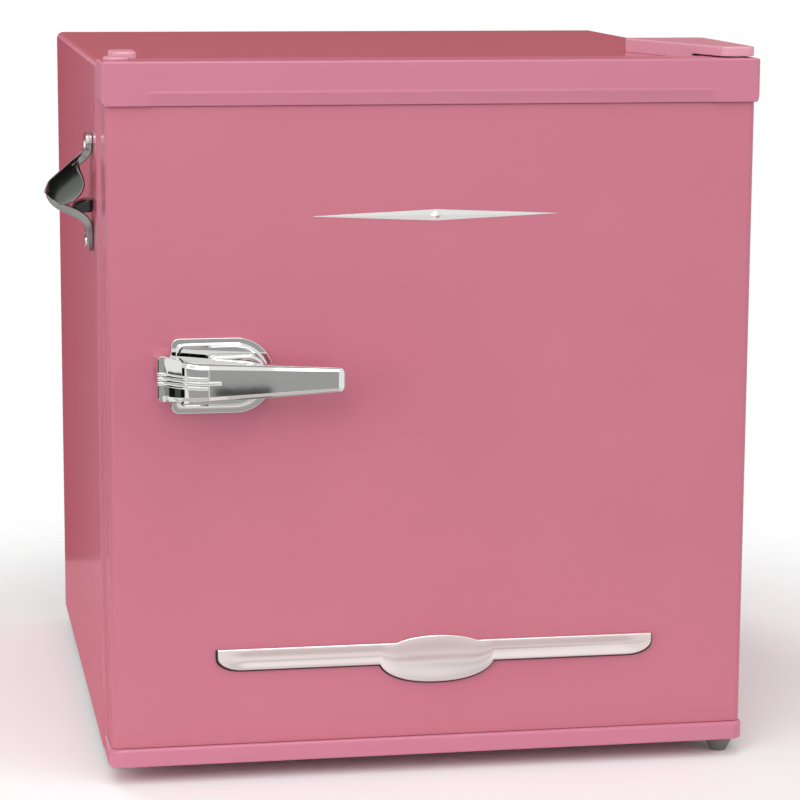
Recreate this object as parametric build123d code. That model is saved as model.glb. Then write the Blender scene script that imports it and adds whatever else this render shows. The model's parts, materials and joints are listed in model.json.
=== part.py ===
from build123d import *
import os

# Compact retro refrigerator. Millimetres: x runs across, y from front to back, z up from the floor.
# The pieces are drawn with x from the cabinet's middle and y from its front face. At the end they are
# moved together, so that the origin lies under the middle of the whole refrigerator.

# Cabinet
CABINET_WIDTH = 445.0
CABINET_DEPTH = 420.0
CABINET_HEIGHT = 474.5
FLOOR_GAP = 12.0
STEEL = 0.8
EDGE_RADIUS = 5.0
SIDE_WALL = 38.0
ROOF_WALL = 40.0
FLOOR_WALL = 39.0
BACK_WALL = 38.0

# Compressor bay and the insulation over it
BAY_DEPTH = 130.0
BAY_HEIGHT = 165.0
BAY_WALL = 27.0

# Inner liner
LINER = 2.0
LINER_RADIUS = 14.0
LINER_LIP = 14.0
LIP_SHOW = 8.0
RAIL_WIDTH = 9.0
RAIL_HEIGHT = 8.0
RAIL_FRONT = 70.0
SHELF_HEIGHT = 177.0
TRAY_HEIGHT = 277.0

# Door
DOOR_BODY = 40.0
GASKET = 8.0
GASKET_INSET = 4.5
GASKET_FOOT = 20.0
GASKET_SEAL = 13.0
DOOR_RISE = 2.5
DOOR_LOW_GAP = 1.0
SKIN_RADIUS = 4.5
SKIN_RETURN = 14.0
CAP_PROUD = 3.0
CAP_SIDE = 2.3
TOP_CAP = 29.5
BOTTOM_CAP = 13.0
CAP_TONGUE = 8.0
TOP_CAP_RADIUS = 3.0
BOTTOM_CAP_RADIUS = 9.0
CREASE_RISE = 8.5
CREASE_CUT = 2.2
CREASE_INSET = 30.0
CAP_BEVEL = 4.0
TONGUE_PLAY = 0.1
DIKE_WIDTH = 22.0
DIKE_REACH = 18.0
DIKE_GAP = 9.0
BIN_WALL = 2.0
BIN_GAP = 3.0
BIN_RADIUS = 14.0
LOWER_BIN_RISE = 35.0
LOWER_BIN_HEIGHT = 90.0
LOWER_BIN_REACH = 86.0
UPPER_BIN_RISE = 211.0
UPPER_BIN_HEIGHT = 58.0
UPPER_BIN_REACH = 70.0
BOSS_SIZE = 10.0

# Hinges
HINGE_INSET = 12.0
HINGE_BACK = 22.0
HINGE_STEEL = 2.5
PLATE_CLEARANCE = 0.9
TOP_PIN = 8.0
BOTTOM_PIN = 10.0
BUSH = 15.0
BUSH_DEPTH = 16.0
HINGE_NOSE = 8.5
HINGE_LENGTH = 87.0
HINGE_SPREAD = 55.0
HINGE_CORNER = 3.0
COVER_HEIGHT = 10.0
COVER_WALL = 1.8
COVER_MARGIN = 3.0
HOLE_CAP_INSET = 21.5
HOLE_CAP_BACK = 42.0
HOLE_CAP_STEM = 6.0
HOLE_CAP_WIDE = 18.0
HOLE_CAP_LONG = 34.0
PLUG_HEAD = 2.2
PLUG_RIM = 1.2
SCREW = 5.0
SCREW_HEAD = 9.0
SCREW_LENGTH = 10.0
BACK_SCREW = 4.0
BACK_SCREW_HEAD = 1.8
FOOT_STUD = 6.0
FOOT_BOSS = 14.0
LEFT_FOOT_INSET = 32.0
LEFT_FOOT_BACK = 22.0
FOOT_TOP = 18.0
FOOT_TIP = 11.0
FOOT_SOLE = 1.5

# Chilled space
EVAPORATOR_WIDTH = 230.0
EVAPORATOR_HEIGHT = 88.0
EVAPORATOR_DEPTH = 254.0
EVAPORATOR_SHEET = 1.5
EVAPORATOR_DROP = 6.5
EVAPORATOR_LEFT = 12.5
EVAPORATOR_BACK = 16.0
CHANNEL_WIDTH = 8.0
CHANNEL_RISE = 1.2
CHANNEL_PITCH = 50.0
ICEBOX_FRAME = 14.0
CLIP_PLAY = 0.1
FLAP_SHEET = 4.0
FLAP_PIN = 5.0
TRAY_DEPTH = 18.0
GLASS = 4.0
SHELF_FRONT = 92.0
TRIM_DEPTH = 14.0
TRIM_HEIGHT = 8.0
THERMOSTAT_WIDTH = 56.0
THERMOSTAT_HEIGHT = 54.0
THERMOSTAT_DEPTH = 115.0
THERMOSTAT_FRONT = 120.0
THERMOSTAT_WALL = 2.0
KNOB = 36.0
KNOB_DEPTH = 15.0
KNOB_SHAFT = 6.0
KNOB_REACH = 20.0

# Compressor and pipes
COMPRESSOR = 100.0
COMPRESSOR_HEIGHT = 121.0
COMPRESSOR_RIGHT = 10.0
SEAM_PROUD = 2.5
FOOT_SHEET = 3.2
BOLT = 7.0
BOLT_HEAD = 12.0
BOLT_ACROSS = 54.0
BOLT_ALONG = 38.0
POT_FOOT_WIDE = 130.0
POT_FOOT_DEEP = 98.0
GROMMET = 20.0
SUCTION_RUN = 30.0
DISCHARGE_RUN = 66.0
DRIER_LEFT = 70.0
DRIER_RISE = 58.0
DRIER_LENGTH = 84.0
DRIER = 18.0
CAPILLARY_RUN = 44.0
CAPILLARY_DROP = 26.0
STUB = 8.0
DISCHARGE_BACK = 22.0
RELAY_HALF = 22.0
RELAY_REACH = 24.0
PLATE_STEEL = 1.5
GROMMET_HEIGHT = 10.5
SUCTION_PIPE = 8.0
DISCHARGE_PIPE = 6.0
CAPILLARY = 2.6
COIL_PIPE = 5.0
COIL_PITCH = 30.0
DRAIN_PIPE = 10.0

# Handle, trim and opener
HANDLE_LEFT = 44.0
HANDLE_DROP = 178.3
HANDLE_LENGTH = 68.5
HANDLE_WIDTH = 50.5
HANDLE_PLATE = 9.0
HANDLE_STEP = 4.0
LEVER_LEFT = 33.2
LEVER_LENGTH = 122.8
LEVER_REACH = 36.0
LEVER_THICK = 9.0
LEVER_ROOT = 29.0
LEVER_TIP = 15.5
LEVER_EDGE = 2.0
LEVER_RIB = 1.1
STUD = 5.0
STUD_LENGTH = 18.0
TRIM_LENGTH = 302.0
TRIM_BAR = 15.0
TRIM_RISE = 67.0
TRIM_THICK = 4.0
BOWL_LENGTH = 80.0
BOWL_HEIGHT = 31.0
BADGE_LENGTH = 180.0
BADGE_WIDTH = 8.0
BADGE_DROP = 73.5
BADGE_THICK = 3.0
OPENER_DROP = 51.5
OPENER_REACH = 33.5
OPENER_WIDTH = 46.0
OPENER_BACK = 42.0
OPENER_SHEET = 3.5
OPENER_ARCH = 17.0
VISOR_SHEET = 2.5

# Fits: gap between pieces of different bodies, and the radial play of a pin that turns or slides
GAP = 0.3
PLAY = 0.05

# Lines that follow from the sizes above
half = CABINET_WIDTH / 2
base = FLOOR_GAP
top = FLOOR_GAP + CABINET_HEIGHT
cavity_x = half - SIDE_WALL
cavity_floor = base + FLOOR_WALL
cavity_roof = top - ROOF_WALL
cavity_back = CABINET_DEPTH - BACK_WALL
bay_front = CABINET_DEPTH - BAY_DEPTH
bay_roof = base + BAY_HEIGHT
step_front = bay_front - BAY_WALL
step_top = bay_roof + BAY_WALL
shelf_seat = cavity_floor + SHELF_HEIGHT
tray_seat = cavity_floor + TRAY_HEIGHT

door_back = -GASKET - LINER
door_front = door_back - DOOR_BODY
skin_front = door_front + CAP_PROUD
skin_half = half - CAP_SIDE
door_low = base + DOOR_LOW_GAP
door_top = top + DOOR_RISE
skin_low = door_low + BOTTOM_CAP
skin_top = door_top - TOP_CAP
hinge_x = half - HINGE_INSET
hinge_y = door_front + HINGE_BACK
hole_cap_x = -half + HOLE_CAP_INSET
dike_x = cavity_x - DIKE_GAP
dike_low = cavity_floor + DIKE_GAP
dike_top = cavity_roof - DIKE_GAP
dike_reach = -GASKET + DIKE_REACH

evaporator_x0 = -cavity_x + EVAPORATOR_LEFT
evaporator_x1 = evaporator_x0 + EVAPORATOR_WIDTH
evaporator_top = cavity_roof - EVAPORATOR_DROP
evaporator_low = evaporator_top - EVAPORATOR_HEIGHT
evaporator_back = cavity_back - EVAPORATOR_BACK
evaporator_front = evaporator_back - EVAPORATOR_DEPTH
frame_front = evaporator_front - ICEBOX_FRAME
icebox_inset = EVAPORATOR_SHEET + 2.0
icebox_x0 = evaporator_x0 + icebox_inset
icebox_x1 = evaporator_x1 - icebox_inset
icebox_low = evaporator_low + icebox_inset
icebox_top = evaporator_top - icebox_inset
flap_axis_y = frame_front + 5.0
flap_axis_z = icebox_top - 6.0

thermostat_x = cavity_x - THERMOSTAT_WIDTH
thermostat_top = cavity_roof - LINER_RADIUS
thermostat_low = thermostat_top - THERMOSTAT_HEIGHT
knob_x = cavity_x - THERMOSTAT_WIDTH / 2
knob_z = (thermostat_low + thermostat_top) / 2

compressor_y = bay_front + BAY_DEPTH / 2
plate_top = base + PLATE_STEEL
compressor_low = plate_top + GROMMET_HEIGHT
compressor_top = compressor_low + COMPRESSOR_HEIGHT
drain_y = cavity_back - BACK_WALL / 2

handle_x = -half + HANDLE_LEFT
handle_z = skin_top - HANDLE_DROP
lever_x = -half + LEVER_LEFT
plate_front = skin_front - HANDLE_PLATE - HANDLE_STEP
lever_front = skin_front - LEVER_REACH
left_foot = (-half + LEFT_FOOT_INSET, LEFT_FOOT_BACK)
left_side = -half
trim_top = skin_low + TRIM_RISE
badge_z = skin_top - BADGE_DROP
opener_top = top - OPENER_DROP


def span(x0, x1, y0, y1, z0, z1):
    """A block between two opposite corners."""
    middle = Pos((x0 + x1) / 2, (y0 + y1) / 2, (z0 + z1) / 2)
    return middle * Box(x1 - x0, y1 - y0, z1 - z0)


def upright(x, y, z0, z1, radius):
    """A round bar along z."""
    return Pos(x, y, (z0 + z1) / 2) * Cylinder(radius, z1 - z0)


def crosswise(y, z, x0, x1, radius):
    """A round bar along x."""
    return Pos((x0 + x1) / 2, y, z) * Rot(0, 90, 0) * Cylinder(radius, x1 - x0)


def lengthwise(x, z, y0, y1, radius):
    """A round bar along y."""
    return Pos(x, (y0 + y1) / 2, z) * Rot(90, 0, 0) * Cylinder(radius, y1 - y0)


def outline(*points):
    """A flat face inside straight edges."""
    return make_face(Polyline(*points, close=True))


def panel(x0, x1, z0, z1, radius):
    """A flat face with four rounded corners."""
    return Pos((x0 + x1) / 2, (z0 + z1) / 2) * RectangleRounded(x1 - x0, z1 - z0, radius)


def slab_x(face, x0, x1):
    """A face drawn in y and z, made solid from x0 to x1."""
    return Pos(x0, 0, 0) * extrude(Plane.YZ * face, x1 - x0)


def slab_y(face, y0, y1):
    """A face drawn in x and z, made solid from y0 to y1."""
    return Pos(0, y0, 0) * extrude(Plane.XZ * face, y1 - y0, dir=(0, 1, 0))


def slab_z(face, z0, z1):
    """A face drawn in x and y, made solid from z0 to z1."""
    return Pos(0, 0, z0) * extrude(face, z1 - z0)


def folded(points, thickness):
    """A sheet's section: the run of points, and the same run moved to its left by the thickness."""
    run = [Vector(point) for point in points]
    moved = []
    for index, point in enumerate(run):
        sides = []
        for start, end in ((index - 1, index), (index, index + 1)):
            if start >= 0 and end < len(run):
                along = (run[end] - run[start]).normalized()
                sides.append(Vector(-along.Y, along.X))
        mitre = sides[0] if len(sides) == 1 else (sides[0] + sides[1]) / (1 + sides[0].dot(sides[1]))
        moved.append(point + mitre * thickness)
    return outline(*run, *reversed(moved))


def group(shapes):
    """Separate solids kept together as one piece of the list."""
    return Part() + list(shapes)


def pipe(points, radius, bend):
    """A round tube bent along its points."""
    path = FilletPolyline(*points, radius=bend)
    section = Plane(path @ 0, z_dir=path % 0) * Circle(radius)
    return sweep(section, path)


def hinge_holes(z0, z1, radius):
    """The bores for the hinge pin at the right of the door and, for a door hung the other way, the left."""
    return group(upright(side * hinge_x, hinge_y, z0, z1, radius) for side in (-1, 1))


def hinge_screw_places():
    """Where three screws hold each hinge plate."""
    near = 18.0
    far = HINGE_LENGTH - 12.0
    right = hinge_x + 2.0
    inner = hinge_x + HINGE_NOSE - HINGE_SPREAD + 14.0
    return [(right, near), (inner, far), (right, far)]


def opener_screw_heights():
    """Where the opener's two screws are: on its top tab and on its tail."""
    return [opener_top - 9.0, opener_top - 73.0]


def back_screw_places():
    """Where the screws of the back panel are, along its two sides."""
    side = half - 12.0
    low = bay_roof + 14.0
    high = top - 14.0
    heights = [low, (low + high) / 2, high]
    return [(x, z) for x in (-side, side) for z in heights]


def case_block(inset, front, back, low):
    """The cabinet's outer form, or the space inside its sheet, with the bent edges."""
    block = span(-half + inset, half - inset, front, back, low, top - inset)
    long_edges = block.edges().filter_by(Axis.Y).group_by(Axis.Z)[-1]
    front_edges = block.faces().sort_by(Axis.Y)[0].edges().sort_by(Axis.Z)[1:]
    return fillet(long_edges + front_edges, EDGE_RADIUS - inset)


def food_space(grow):
    """The space inside the liner, or with grow the liner's outside, stepped over the compressor bay."""
    x = cavity_x + grow
    radius = LINER_RADIUS + grow
    lower = slab_y(panel(-x, x, cavity_floor - grow, cavity_roof + grow, radius), STEEL, step_front + grow)
    upper = slab_y(panel(-x, x, step_top - grow, cavity_roof + grow, radius), STEEL, cavity_back + grow)
    return lower + upper


def liner_lip():
    """The rim of the liner, behind the cabinet's front flange."""
    x = cavity_x + LINER_LIP
    return span(-x, x, STEEL, STEEL + LINER, cavity_floor - LINER_LIP, cavity_roof + LINER_LIP)


def shelf_rails():
    """The rails on the liner's sides that carry the shelf and the drip tray."""
    rails = []
    for seat in (shelf_seat, tray_seat):
        for side in (-1, 1):
            wall = side * cavity_x
            edge = side * (cavity_x - RAIL_WIDTH)
            low = seat - RAIL_HEIGHT
            section = outline((wall, seat), (edge, seat), (edge, (seat + low) / 2), (wall, low))
            rails.append(slab_y(section, RAIL_FRONT, cavity_back))
    return group(rails)


def drain_bore():
    """The way of the drain, from the step in the liner down into the compressor bay."""
    return upright(COMPRESSOR_RIGHT, drain_y, bay_roof - 15.0, step_top, DRAIN_PIPE / 2)


def cabinet_shell():
    shell = case_block(0, 0, CABINET_DEPTH, base) - case_block(STEEL, STEEL, 2 * CABINET_DEPTH, 0)
    x = cavity_x + LIP_SHOW
    shell -= span(-x, x, -STEEL, 2 * STEEL, 0, cavity_roof + LIP_SHOW)
    for x, y in hinge_screw_places():
        shell -= upright(x, y, top - 2 * STEEL, top + STEEL, SCREW / 2)
    shell -= upright(hole_cap_x, HOLE_CAP_BACK, top - 2 * STEEL, top + STEEL, HOLE_CAP_STEM / 2)
    for z in opener_screw_heights():
        shell -= crosswise(OPENER_BACK, z, left_side - STEEL, left_side + 2 * STEEL, SCREW / 2)
    return shell


def back_panel():
    inner = half - STEEL
    face = panel(-inner, inner, bay_roof + STEEL, top - STEEL, EDGE_RADIUS - STEEL)
    panel_sheet = slab_y(face, CABINET_DEPTH - STEEL, CABINET_DEPTH)
    square_foot = span(-inner, inner, CABINET_DEPTH - STEEL, CABINET_DEPTH, bay_roof + STEEL, bay_roof + 12.0)
    panel_sheet += square_foot
    for x, z in back_screw_places():
        panel_sheet -= lengthwise(x, z, CABINET_DEPTH - 2 * STEEL, CABINET_DEPTH + STEEL, BACK_SCREW / 2)
    return panel_sheet


def base_pan():
    """The floor sheet, folded up at the front and stepped over the compressor bay."""
    floor = [(0, base), (bay_front, base), (bay_front, bay_roof), (CABINET_DEPTH, bay_roof)]
    lip = cavity_x + LIP_SHOW
    pan = slab_x(folded(floor, STEEL), -half, half)
    pan &= case_block(STEEL, STEEL, 2 * CABINET_DEPTH, 0)
    pan += span(-lip, lip, 0, STEEL, base, cavity_floor - LIP_SHOW)
    x, y = left_foot
    pan += upright(x, y, base, base + FOOT_BOSS, FOOT_STUD / 2 + 4.0)
    pan -= upright(x, y, 0, base + FOOT_BOSS, FOOT_STUD / 2 + PLAY)
    for x, y in hinge_screw_places():
        pan -= upright(x, y, 0, base + 2 * STEEL, SCREW / 2)
    pan -= drain_bore()
    return pan


def cabinet_foam():
    """The insulation poured between the sheet metal and the liner."""
    foam = case_block(STEEL, STEEL, CABINET_DEPTH - STEEL, base + STEEL)
    foam -= span(-half, half, bay_front - STEEL, CABINET_DEPTH, 0, bay_roof + STEEL)
    foam -= food_space(LINER)
    foam -= liner_lip()
    x, y = left_foot
    foam -= upright(x, y, base, base + FOOT_BOSS, FOOT_STUD / 2 + 4.0)
    foam -= drain_bore()
    foam -= condenser_path(COIL_PIPE / 2)
    for x, y in hinge_screw_places():
        foam -= upright(x, y, base, base + SCREW_LENGTH, SCREW / 2)
        foam -= upright(x, y, top - SCREW_LENGTH, top, SCREW / 2)
    foam -= upright(hole_cap_x, HOLE_CAP_BACK, top - SCREW_LENGTH, top, HOLE_CAP_STEM / 2)
    for z in opener_screw_heights():
        foam -= crosswise(OPENER_BACK, z, left_side, left_side + SCREW_LENGTH, SCREW / 2)
    for x, z in back_screw_places():
        foam -= lengthwise(x, z, CABINET_DEPTH - SCREW_LENGTH, CABINET_DEPTH, BACK_SCREW / 2)
    return foam


def inner_liner():
    liner = food_space(LINER) + liner_lip()
    return liner - food_space(0) - drain_bore()


def condenser_path(radius):
    """The serpentine that gives off the heat, on the inside of the back panel."""
    y = CABINET_DEPTH - STEEL - GAP - COIL_PIPE / 2
    side = half - 30.0
    low = bay_roof + 22.0
    rows = int((top - 22.0 - low) / COIL_PITCH) + 1
    points = []
    for row in range(rows):
        ends = (-side, side) if row % 2 == 0 else (side, -side)
        points += [(ends[0], y, low + row * COIL_PITCH), (ends[1], y, low + row * COIL_PITCH)]
    return pipe(points, radius, 0.4 * COIL_PITCH)


def condenser_coil():
    return condenser_path(COIL_PIPE / 2)


def evaporator_face(grow, radius):
    """The evaporator's outline from the front, grown on all sides."""
    x0 = evaporator_x0 - grow
    x1 = evaporator_x1 + grow
    return panel(x0, x1, evaporator_low - grow, evaporator_top + grow, radius)


def evaporator_ring(grow, y0, y1):
    """A length of the evaporator's folded sheet, standing out by grow."""
    radius = 8.0
    outside = evaporator_face(grow, radius + grow)
    inside = evaporator_face(-EVAPORATOR_SHEET, radius - EVAPORATOR_SHEET)
    return slab_y(outside, y0, y1) - slab_y(inside, y0, y1)


def evaporator():
    """A tunnel of roll-bonded sheet with the refrigerant channels raised round its outside."""
    tunnel = evaporator_ring(0, evaporator_front, evaporator_back)
    count = int(EVAPORATOR_DEPTH / CHANNEL_PITCH)
    for index in range(count):
        y = evaporator_front + (index + 0.5) * CHANNEL_PITCH
        tunnel += evaporator_ring(CHANNEL_RISE, y - CHANNEL_WIDTH / 2, y + CHANNEL_WIDTH / 2)
    return tunnel


def evaporator_spacers():
    count = int(EVAPORATOR_DEPTH / CHANNEL_PITCH)
    rows = [evaporator_front + CHANNEL_PITCH, evaporator_front + (count - 1) * CHANNEL_PITCH]
    places = [(x, y) for x in (evaporator_x0 + 30.0, evaporator_x1 - 30.0) for y in rows]
    return group(upright(x, y, evaporator_top, cavity_roof, 5.0) for x, y in places)


def icebox_frame():
    """The plastic surround of the ice box: four bars clipped together, with sockets for the flap's pins."""
    frame = slab_y(evaporator_face(3.5, 10.0), frame_front, evaporator_front)
    frame = fillet(frame.faces().sort_by(Axis.Y)[0].edges(), 2.5)
    reach = icebox_inset - 1.0
    frame -= crosswise(flap_axis_y, flap_axis_z, icebox_x0 - reach, icebox_x1 + reach, FLAP_PIN / 2 + PLAY)
    x0 = icebox_x0 + CLIP_PLAY
    x1 = icebox_x1 - CLIP_PLAY
    left = frame & span(-half, icebox_x0, 0, CABINET_DEPTH, 0, top)
    right = frame & span(icebox_x1, half, 0, CABINET_DEPTH, 0, top)
    upper = frame & span(x0, x1, 0, CABINET_DEPTH, icebox_top, top)
    lower = frame & span(x0, x1, 0, CABINET_DEPTH, 0, icebox_low)
    return group([left, right, upper, lower])


def icebox_flap():
    """The flap of the ice box: a plate with a rim, a finger lip and a pin at each end of its top edge."""
    x0 = icebox_x0 + 1.0
    x1 = icebox_x1 - 1.0
    low = icebox_low + 1.0
    front = flap_axis_y - FLAP_SHEET / 2
    flap = slab_y(panel(x0, x1, low, flap_axis_z + 4.0, 1.5), front, front + FLAP_SHEET)
    recess = panel(x0 + 8.0, x1 - 8.0, low + 8.0, flap_axis_z - 8.0, 4.0)
    flap -= slab_y(recess, front, front + 1.2)
    middle = (x0 + x1) / 2
    reach = front - 9.0
    lip = outline((front, low), (reach, low + 2.0), (reach, low + 4.5), (front, low + 6.0))
    flap += slab_x(lip, middle - 35.0, middle + 35.0)
    pin = icebox_inset - 1.5
    flap += crosswise(flap_axis_y, flap_axis_z, icebox_x0 - pin, icebox_x1 + pin, FLAP_PIN / 2)
    return flap


def drip_tray():
    x = cavity_x - RAIL_WIDTH / 2
    front = evaporator_front - 6.0
    back = cavity_back - 10.0
    wall = 1.8
    rim = tray_seat + TRAY_DEPTH
    place = Pos(0, (front + back) / 2)
    tray = slab_z(place * RectangleRounded(2 * x, back - front, 6.0), tray_seat, rim)
    inside = place * RectangleRounded(2 * (x - wall), back - front - 2 * wall, 6.0 - wall)
    tray -= slab_z(inside, tray_seat + wall, rim)
    grip = slab_z(Pos(0, front) * RectangleRounded(110.0, 20.0, 6.0), rim - 3.0, rim)
    grip -= span(-half, half, front + wall, front + 30.0, 0, top)
    return tray + grip


def shelf_span():
    """Half the shelf's width, and its back edge."""
    return cavity_x - 3.5, cavity_back - 8.0


def shelf_glass():
    x, back = shelf_span()
    middle = (SHELF_FRONT + back) / 2
    length = back - SHELF_FRONT - 8.0
    low = shelf_seat + (TRIM_HEIGHT - GLASS) / 2
    return slab_z(Pos(0, middle) * RectangleRounded(2 * x - 4.0, length, 4.0), low, low + GLASS)


def shelf_front_trim():
    """The plastic edge that grips the front of the glass."""
    x, back = shelf_span()
    section = panel(SHELF_FRONT, SHELF_FRONT + TRIM_DEPTH, shelf_seat, shelf_seat + TRIM_HEIGHT, 1.6)
    return slab_x(section, -x, x) - shelf_glass()


def shelf_rear_trim():
    """The edge at the back, with a wall that keeps food off the back of the cabinet."""
    x, back = shelf_span()
    section = panel(back - TRIM_DEPTH, back, shelf_seat, shelf_seat + TRIM_HEIGHT, 1.6)
    wall = panel(back - 3.0, back, shelf_seat, shelf_seat + 22.0, 1.2)
    return slab_x(section + wall, -x, x) - shelf_glass()


def thermostat_block(inset):
    """The thermostat's cover as a block, or the space inside it, rounded on the side away from the wall."""
    front = THERMOSTAT_FRONT + inset
    back = THERMOSTAT_FRONT + THERMOSTAT_DEPTH - inset
    block = span(thermostat_x + inset, cavity_x, front, back, thermostat_low + inset, thermostat_top - inset)
    return fillet(block.faces().sort_by(Axis.X)[0].edges(), 8.0 - inset)


def thermostat_housing():
    """A moulded cover on the right wall, open towards it, with the dial on its front."""
    cover = thermostat_block(0) - thermostat_block(THERMOSTAT_WALL)
    inside = THERMOSTAT_FRONT + THERMOSTAT_WALL
    return cover - lengthwise(knob_x, knob_z, THERMOSTAT_FRONT, inside, KNOB_SHAFT / 2 + PLAY)


def thermostat_switch():
    front = THERMOSTAT_FRONT + THERMOSTAT_WALL
    body = span(knob_x - 16.0, knob_x + 16.0, front, front + 38.0, knob_z - 15.0, knob_z + 15.0)
    body = fillet(body.edges().filter_by(Axis.Y), 3.0)
    return body - lengthwise(knob_x, knob_z, front, front + KNOB_REACH, KNOB_SHAFT / 2 + PLAY)


def thermostat_knob():
    """A dial with a raised grip across its face."""
    back = THERMOSTAT_FRONT - 1.0
    dial = lengthwise(knob_x, knob_z, back - KNOB_DEPTH / 2, back, KNOB / 2)
    dial = fillet(dial.edges().sort_by(Axis.Y)[0], 1.5)
    grip = Pos(knob_x, knob_z) * SlotOverall(KNOB - 6.0, 9.0, rotation=90)
    grip = slab_y(grip, back - KNOB_DEPTH, back - KNOB_DEPTH / 2)
    shaft = lengthwise(knob_x, knob_z, back, THERMOSTAT_FRONT + KNOB_REACH, KNOB_SHAFT / 2)
    return dial + grip + shaft


def drain_tube():
    tube = drain_bore()
    return tube - upright(COMPRESSOR_RIGHT, drain_y, 0, top, DRAIN_PIPE / 2 - 1.2)


def compressor_plate():
    """The cross plate under the compressor, folded up in front and behind."""
    run = [(bay_front, base + 16.0), (bay_front, base), (CABINET_DEPTH, base), (CABINET_DEPTH, base + 12.0)]
    return slab_x(folded(run, PLATE_STEEL), -half + STEEL, half - STEEL)


def bolt_places():
    """The four corners of the compressor's foot."""
    columns = (COMPRESSOR_RIGHT - BOLT_ACROSS, COMPRESSOR_RIGHT + BOLT_ACROSS)
    rows = (compressor_y - BOLT_ALONG, compressor_y + BOLT_ALONG)
    return [(x, y) for x in columns for y in rows]


def pot_section():
    """Half the section of the compressor's pot, with the welded seam round its middle."""
    radius = COMPRESSOR / 2
    seam = compressor_low + 0.5 * COMPRESSOR_HEIGHT
    low = compressor_low + 3.0
    body = Pos(radius / 2, (low + compressor_top) / 2) * Rectangle(radius, compressor_top - low)
    outer = body.vertices().group_by(Axis.X)[-1]
    body = fillet(outer, 0.34 * radius)
    rim = radius + SEAM_PROUD
    return body + Pos(rim / 2, seam) * Rectangle(rim, 4.0)


def compressor():
    pot = revolve(Plane.XZ * pot_section(), Axis.Z)
    pot = Pos(COMPRESSOR_RIGHT, compressor_y, 0) * pot
    foot = RectangleRounded(POT_FOOT_WIDE, POT_FOOT_DEEP, 0.12 * POT_FOOT_DEEP)
    foot = Pos(COMPRESSOR_RIGHT, compressor_y) * foot
    pot += slab_z(foot, compressor_low, compressor_low + FOOT_SHEET)
    pot += crosswise(compressor_y, suction_height(), COMPRESSOR_RIGHT, stub_end(), SUCTION_PIPE / 2 + 1.5)
    y = compressor_y + DISCHARGE_BACK
    pot += crosswise(y, discharge_height(), COMPRESSOR_RIGHT, stub_end(), DISCHARGE_PIPE / 2 + 1.5)
    for x, y in bolt_places():
        pot -= upright(x, y, compressor_low, compressor_low + FOOT_SHEET, BOLT / 2)
    return pot


def stub_end():
    """Where the pipes leave the stubs of the pot."""
    return COMPRESSOR_RIGHT + COMPRESSOR / 2 + STUB


def suction_height():
    return compressor_low + 0.62 * COMPRESSOR_HEIGHT


def discharge_height():
    return compressor_low + 0.34 * COMPRESSOR_HEIGHT


def compressor_grommets():
    sleeves = [upright(x, y, plate_top, compressor_low, GROMMET / 2) for x, y in bolt_places()]
    bores = [upright(x, y, plate_top, compressor_low, BOLT / 2) for x, y in bolt_places()]
    return group(sleeves) - group(bores)


def compressor_bolts():
    bolts = []
    for x, y in bolt_places():
        seat = compressor_low + FOOT_SHEET
        head = upright(x, y, seat, seat + BOLT_HEAD / 3, BOLT_HEAD / 2)
        bolts.append(head + upright(x, y, plate_top, seat, BOLT / 2))
    return group(bolts)


def relay_low():
    return compressor_low + 0.3 * COMPRESSOR_HEIGHT


def relay_cover():
    """The cap over the starter, clipped to the left of the pot."""
    left = COMPRESSOR_RIGHT - COMPRESSOR / 2 - RELAY_REACH
    low = relay_low()
    front = compressor_y - RELAY_HALF
    cover = span(left, COMPRESSOR_RIGHT, front, compressor_y + RELAY_HALF, low, low + 48.0)
    cover = fillet(cover.faces().sort_by(Axis.X)[0].edges(), 5.0)
    pot_room = upright(COMPRESSOR_RIGHT, compressor_y, 0, top, COMPRESSOR / 2 + SEAM_PROUD)
    return cover - pot_room


def cord_gland():
    """The bush where a mains lead would enter the relay cover."""
    x = COMPRESSOR_RIGHT - COMPRESSOR / 2 - RELAY_REACH / 2
    z = relay_low() + 18.0
    face = compressor_y + RELAY_HALF
    bush = lengthwise(x, z, face, face + 9.0, 6.0) + lengthwise(x, z, face, face + 3.0, 8.0)
    return bush - lengthwise(x, z, face, face + 9.0, 3.5)


def suction_pipe():
    start = stub_end()
    turn = start + SUCTION_RUN
    y = compressor_y
    z = suction_height()
    return pipe([(start, y, z), (turn, y, z), (turn, y, bay_roof)], SUCTION_PIPE / 2, 2.5 * SUCTION_PIPE)


def discharge_pipe():
    start = stub_end()
    turn = start + DISCHARGE_RUN
    y = compressor_y + DISCHARGE_BACK
    z = discharge_height()
    return pipe([(start, y, z), (turn, y, z), (turn, y, bay_roof)], DISCHARGE_PIPE / 2, 3 * DISCHARGE_PIPE)


def drier_place():
    """The filter drier's middle line across the bay, and the height of its lower end."""
    return COMPRESSOR_RIGHT - COMPRESSOR / 2 - DRIER_LEFT, base + DRIER_RISE


def filter_drier():
    """The copper can that dries the refrigerant, tapered at both ends, hung from the roof of the bay."""
    x, low = drier_place()
    high = low + DRIER_LENGTH
    neck = DISCHARGE_PIPE / 2
    can = DRIER / 2
    lower = [(0, low), (neck, low), (can, low + can)]
    upper = [(can, high - can), (neck, high), (neck, bay_roof), (0, bay_roof)]
    return Pos(x, compressor_y, 0) * revolve(Plane.XZ * outline(*lower, *upper), Axis.Z)


def capillary_tube():
    x, high = drier_place()
    left = x - CAPILLARY_RUN
    low = high - CAPILLARY_DROP
    y = compressor_y
    points = [(x, y, high), (x, y, low), (left, y, low), (left, y, bay_roof)]
    return pipe(points, CAPILLARY / 2, 4.6 * CAPILLARY)


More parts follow.
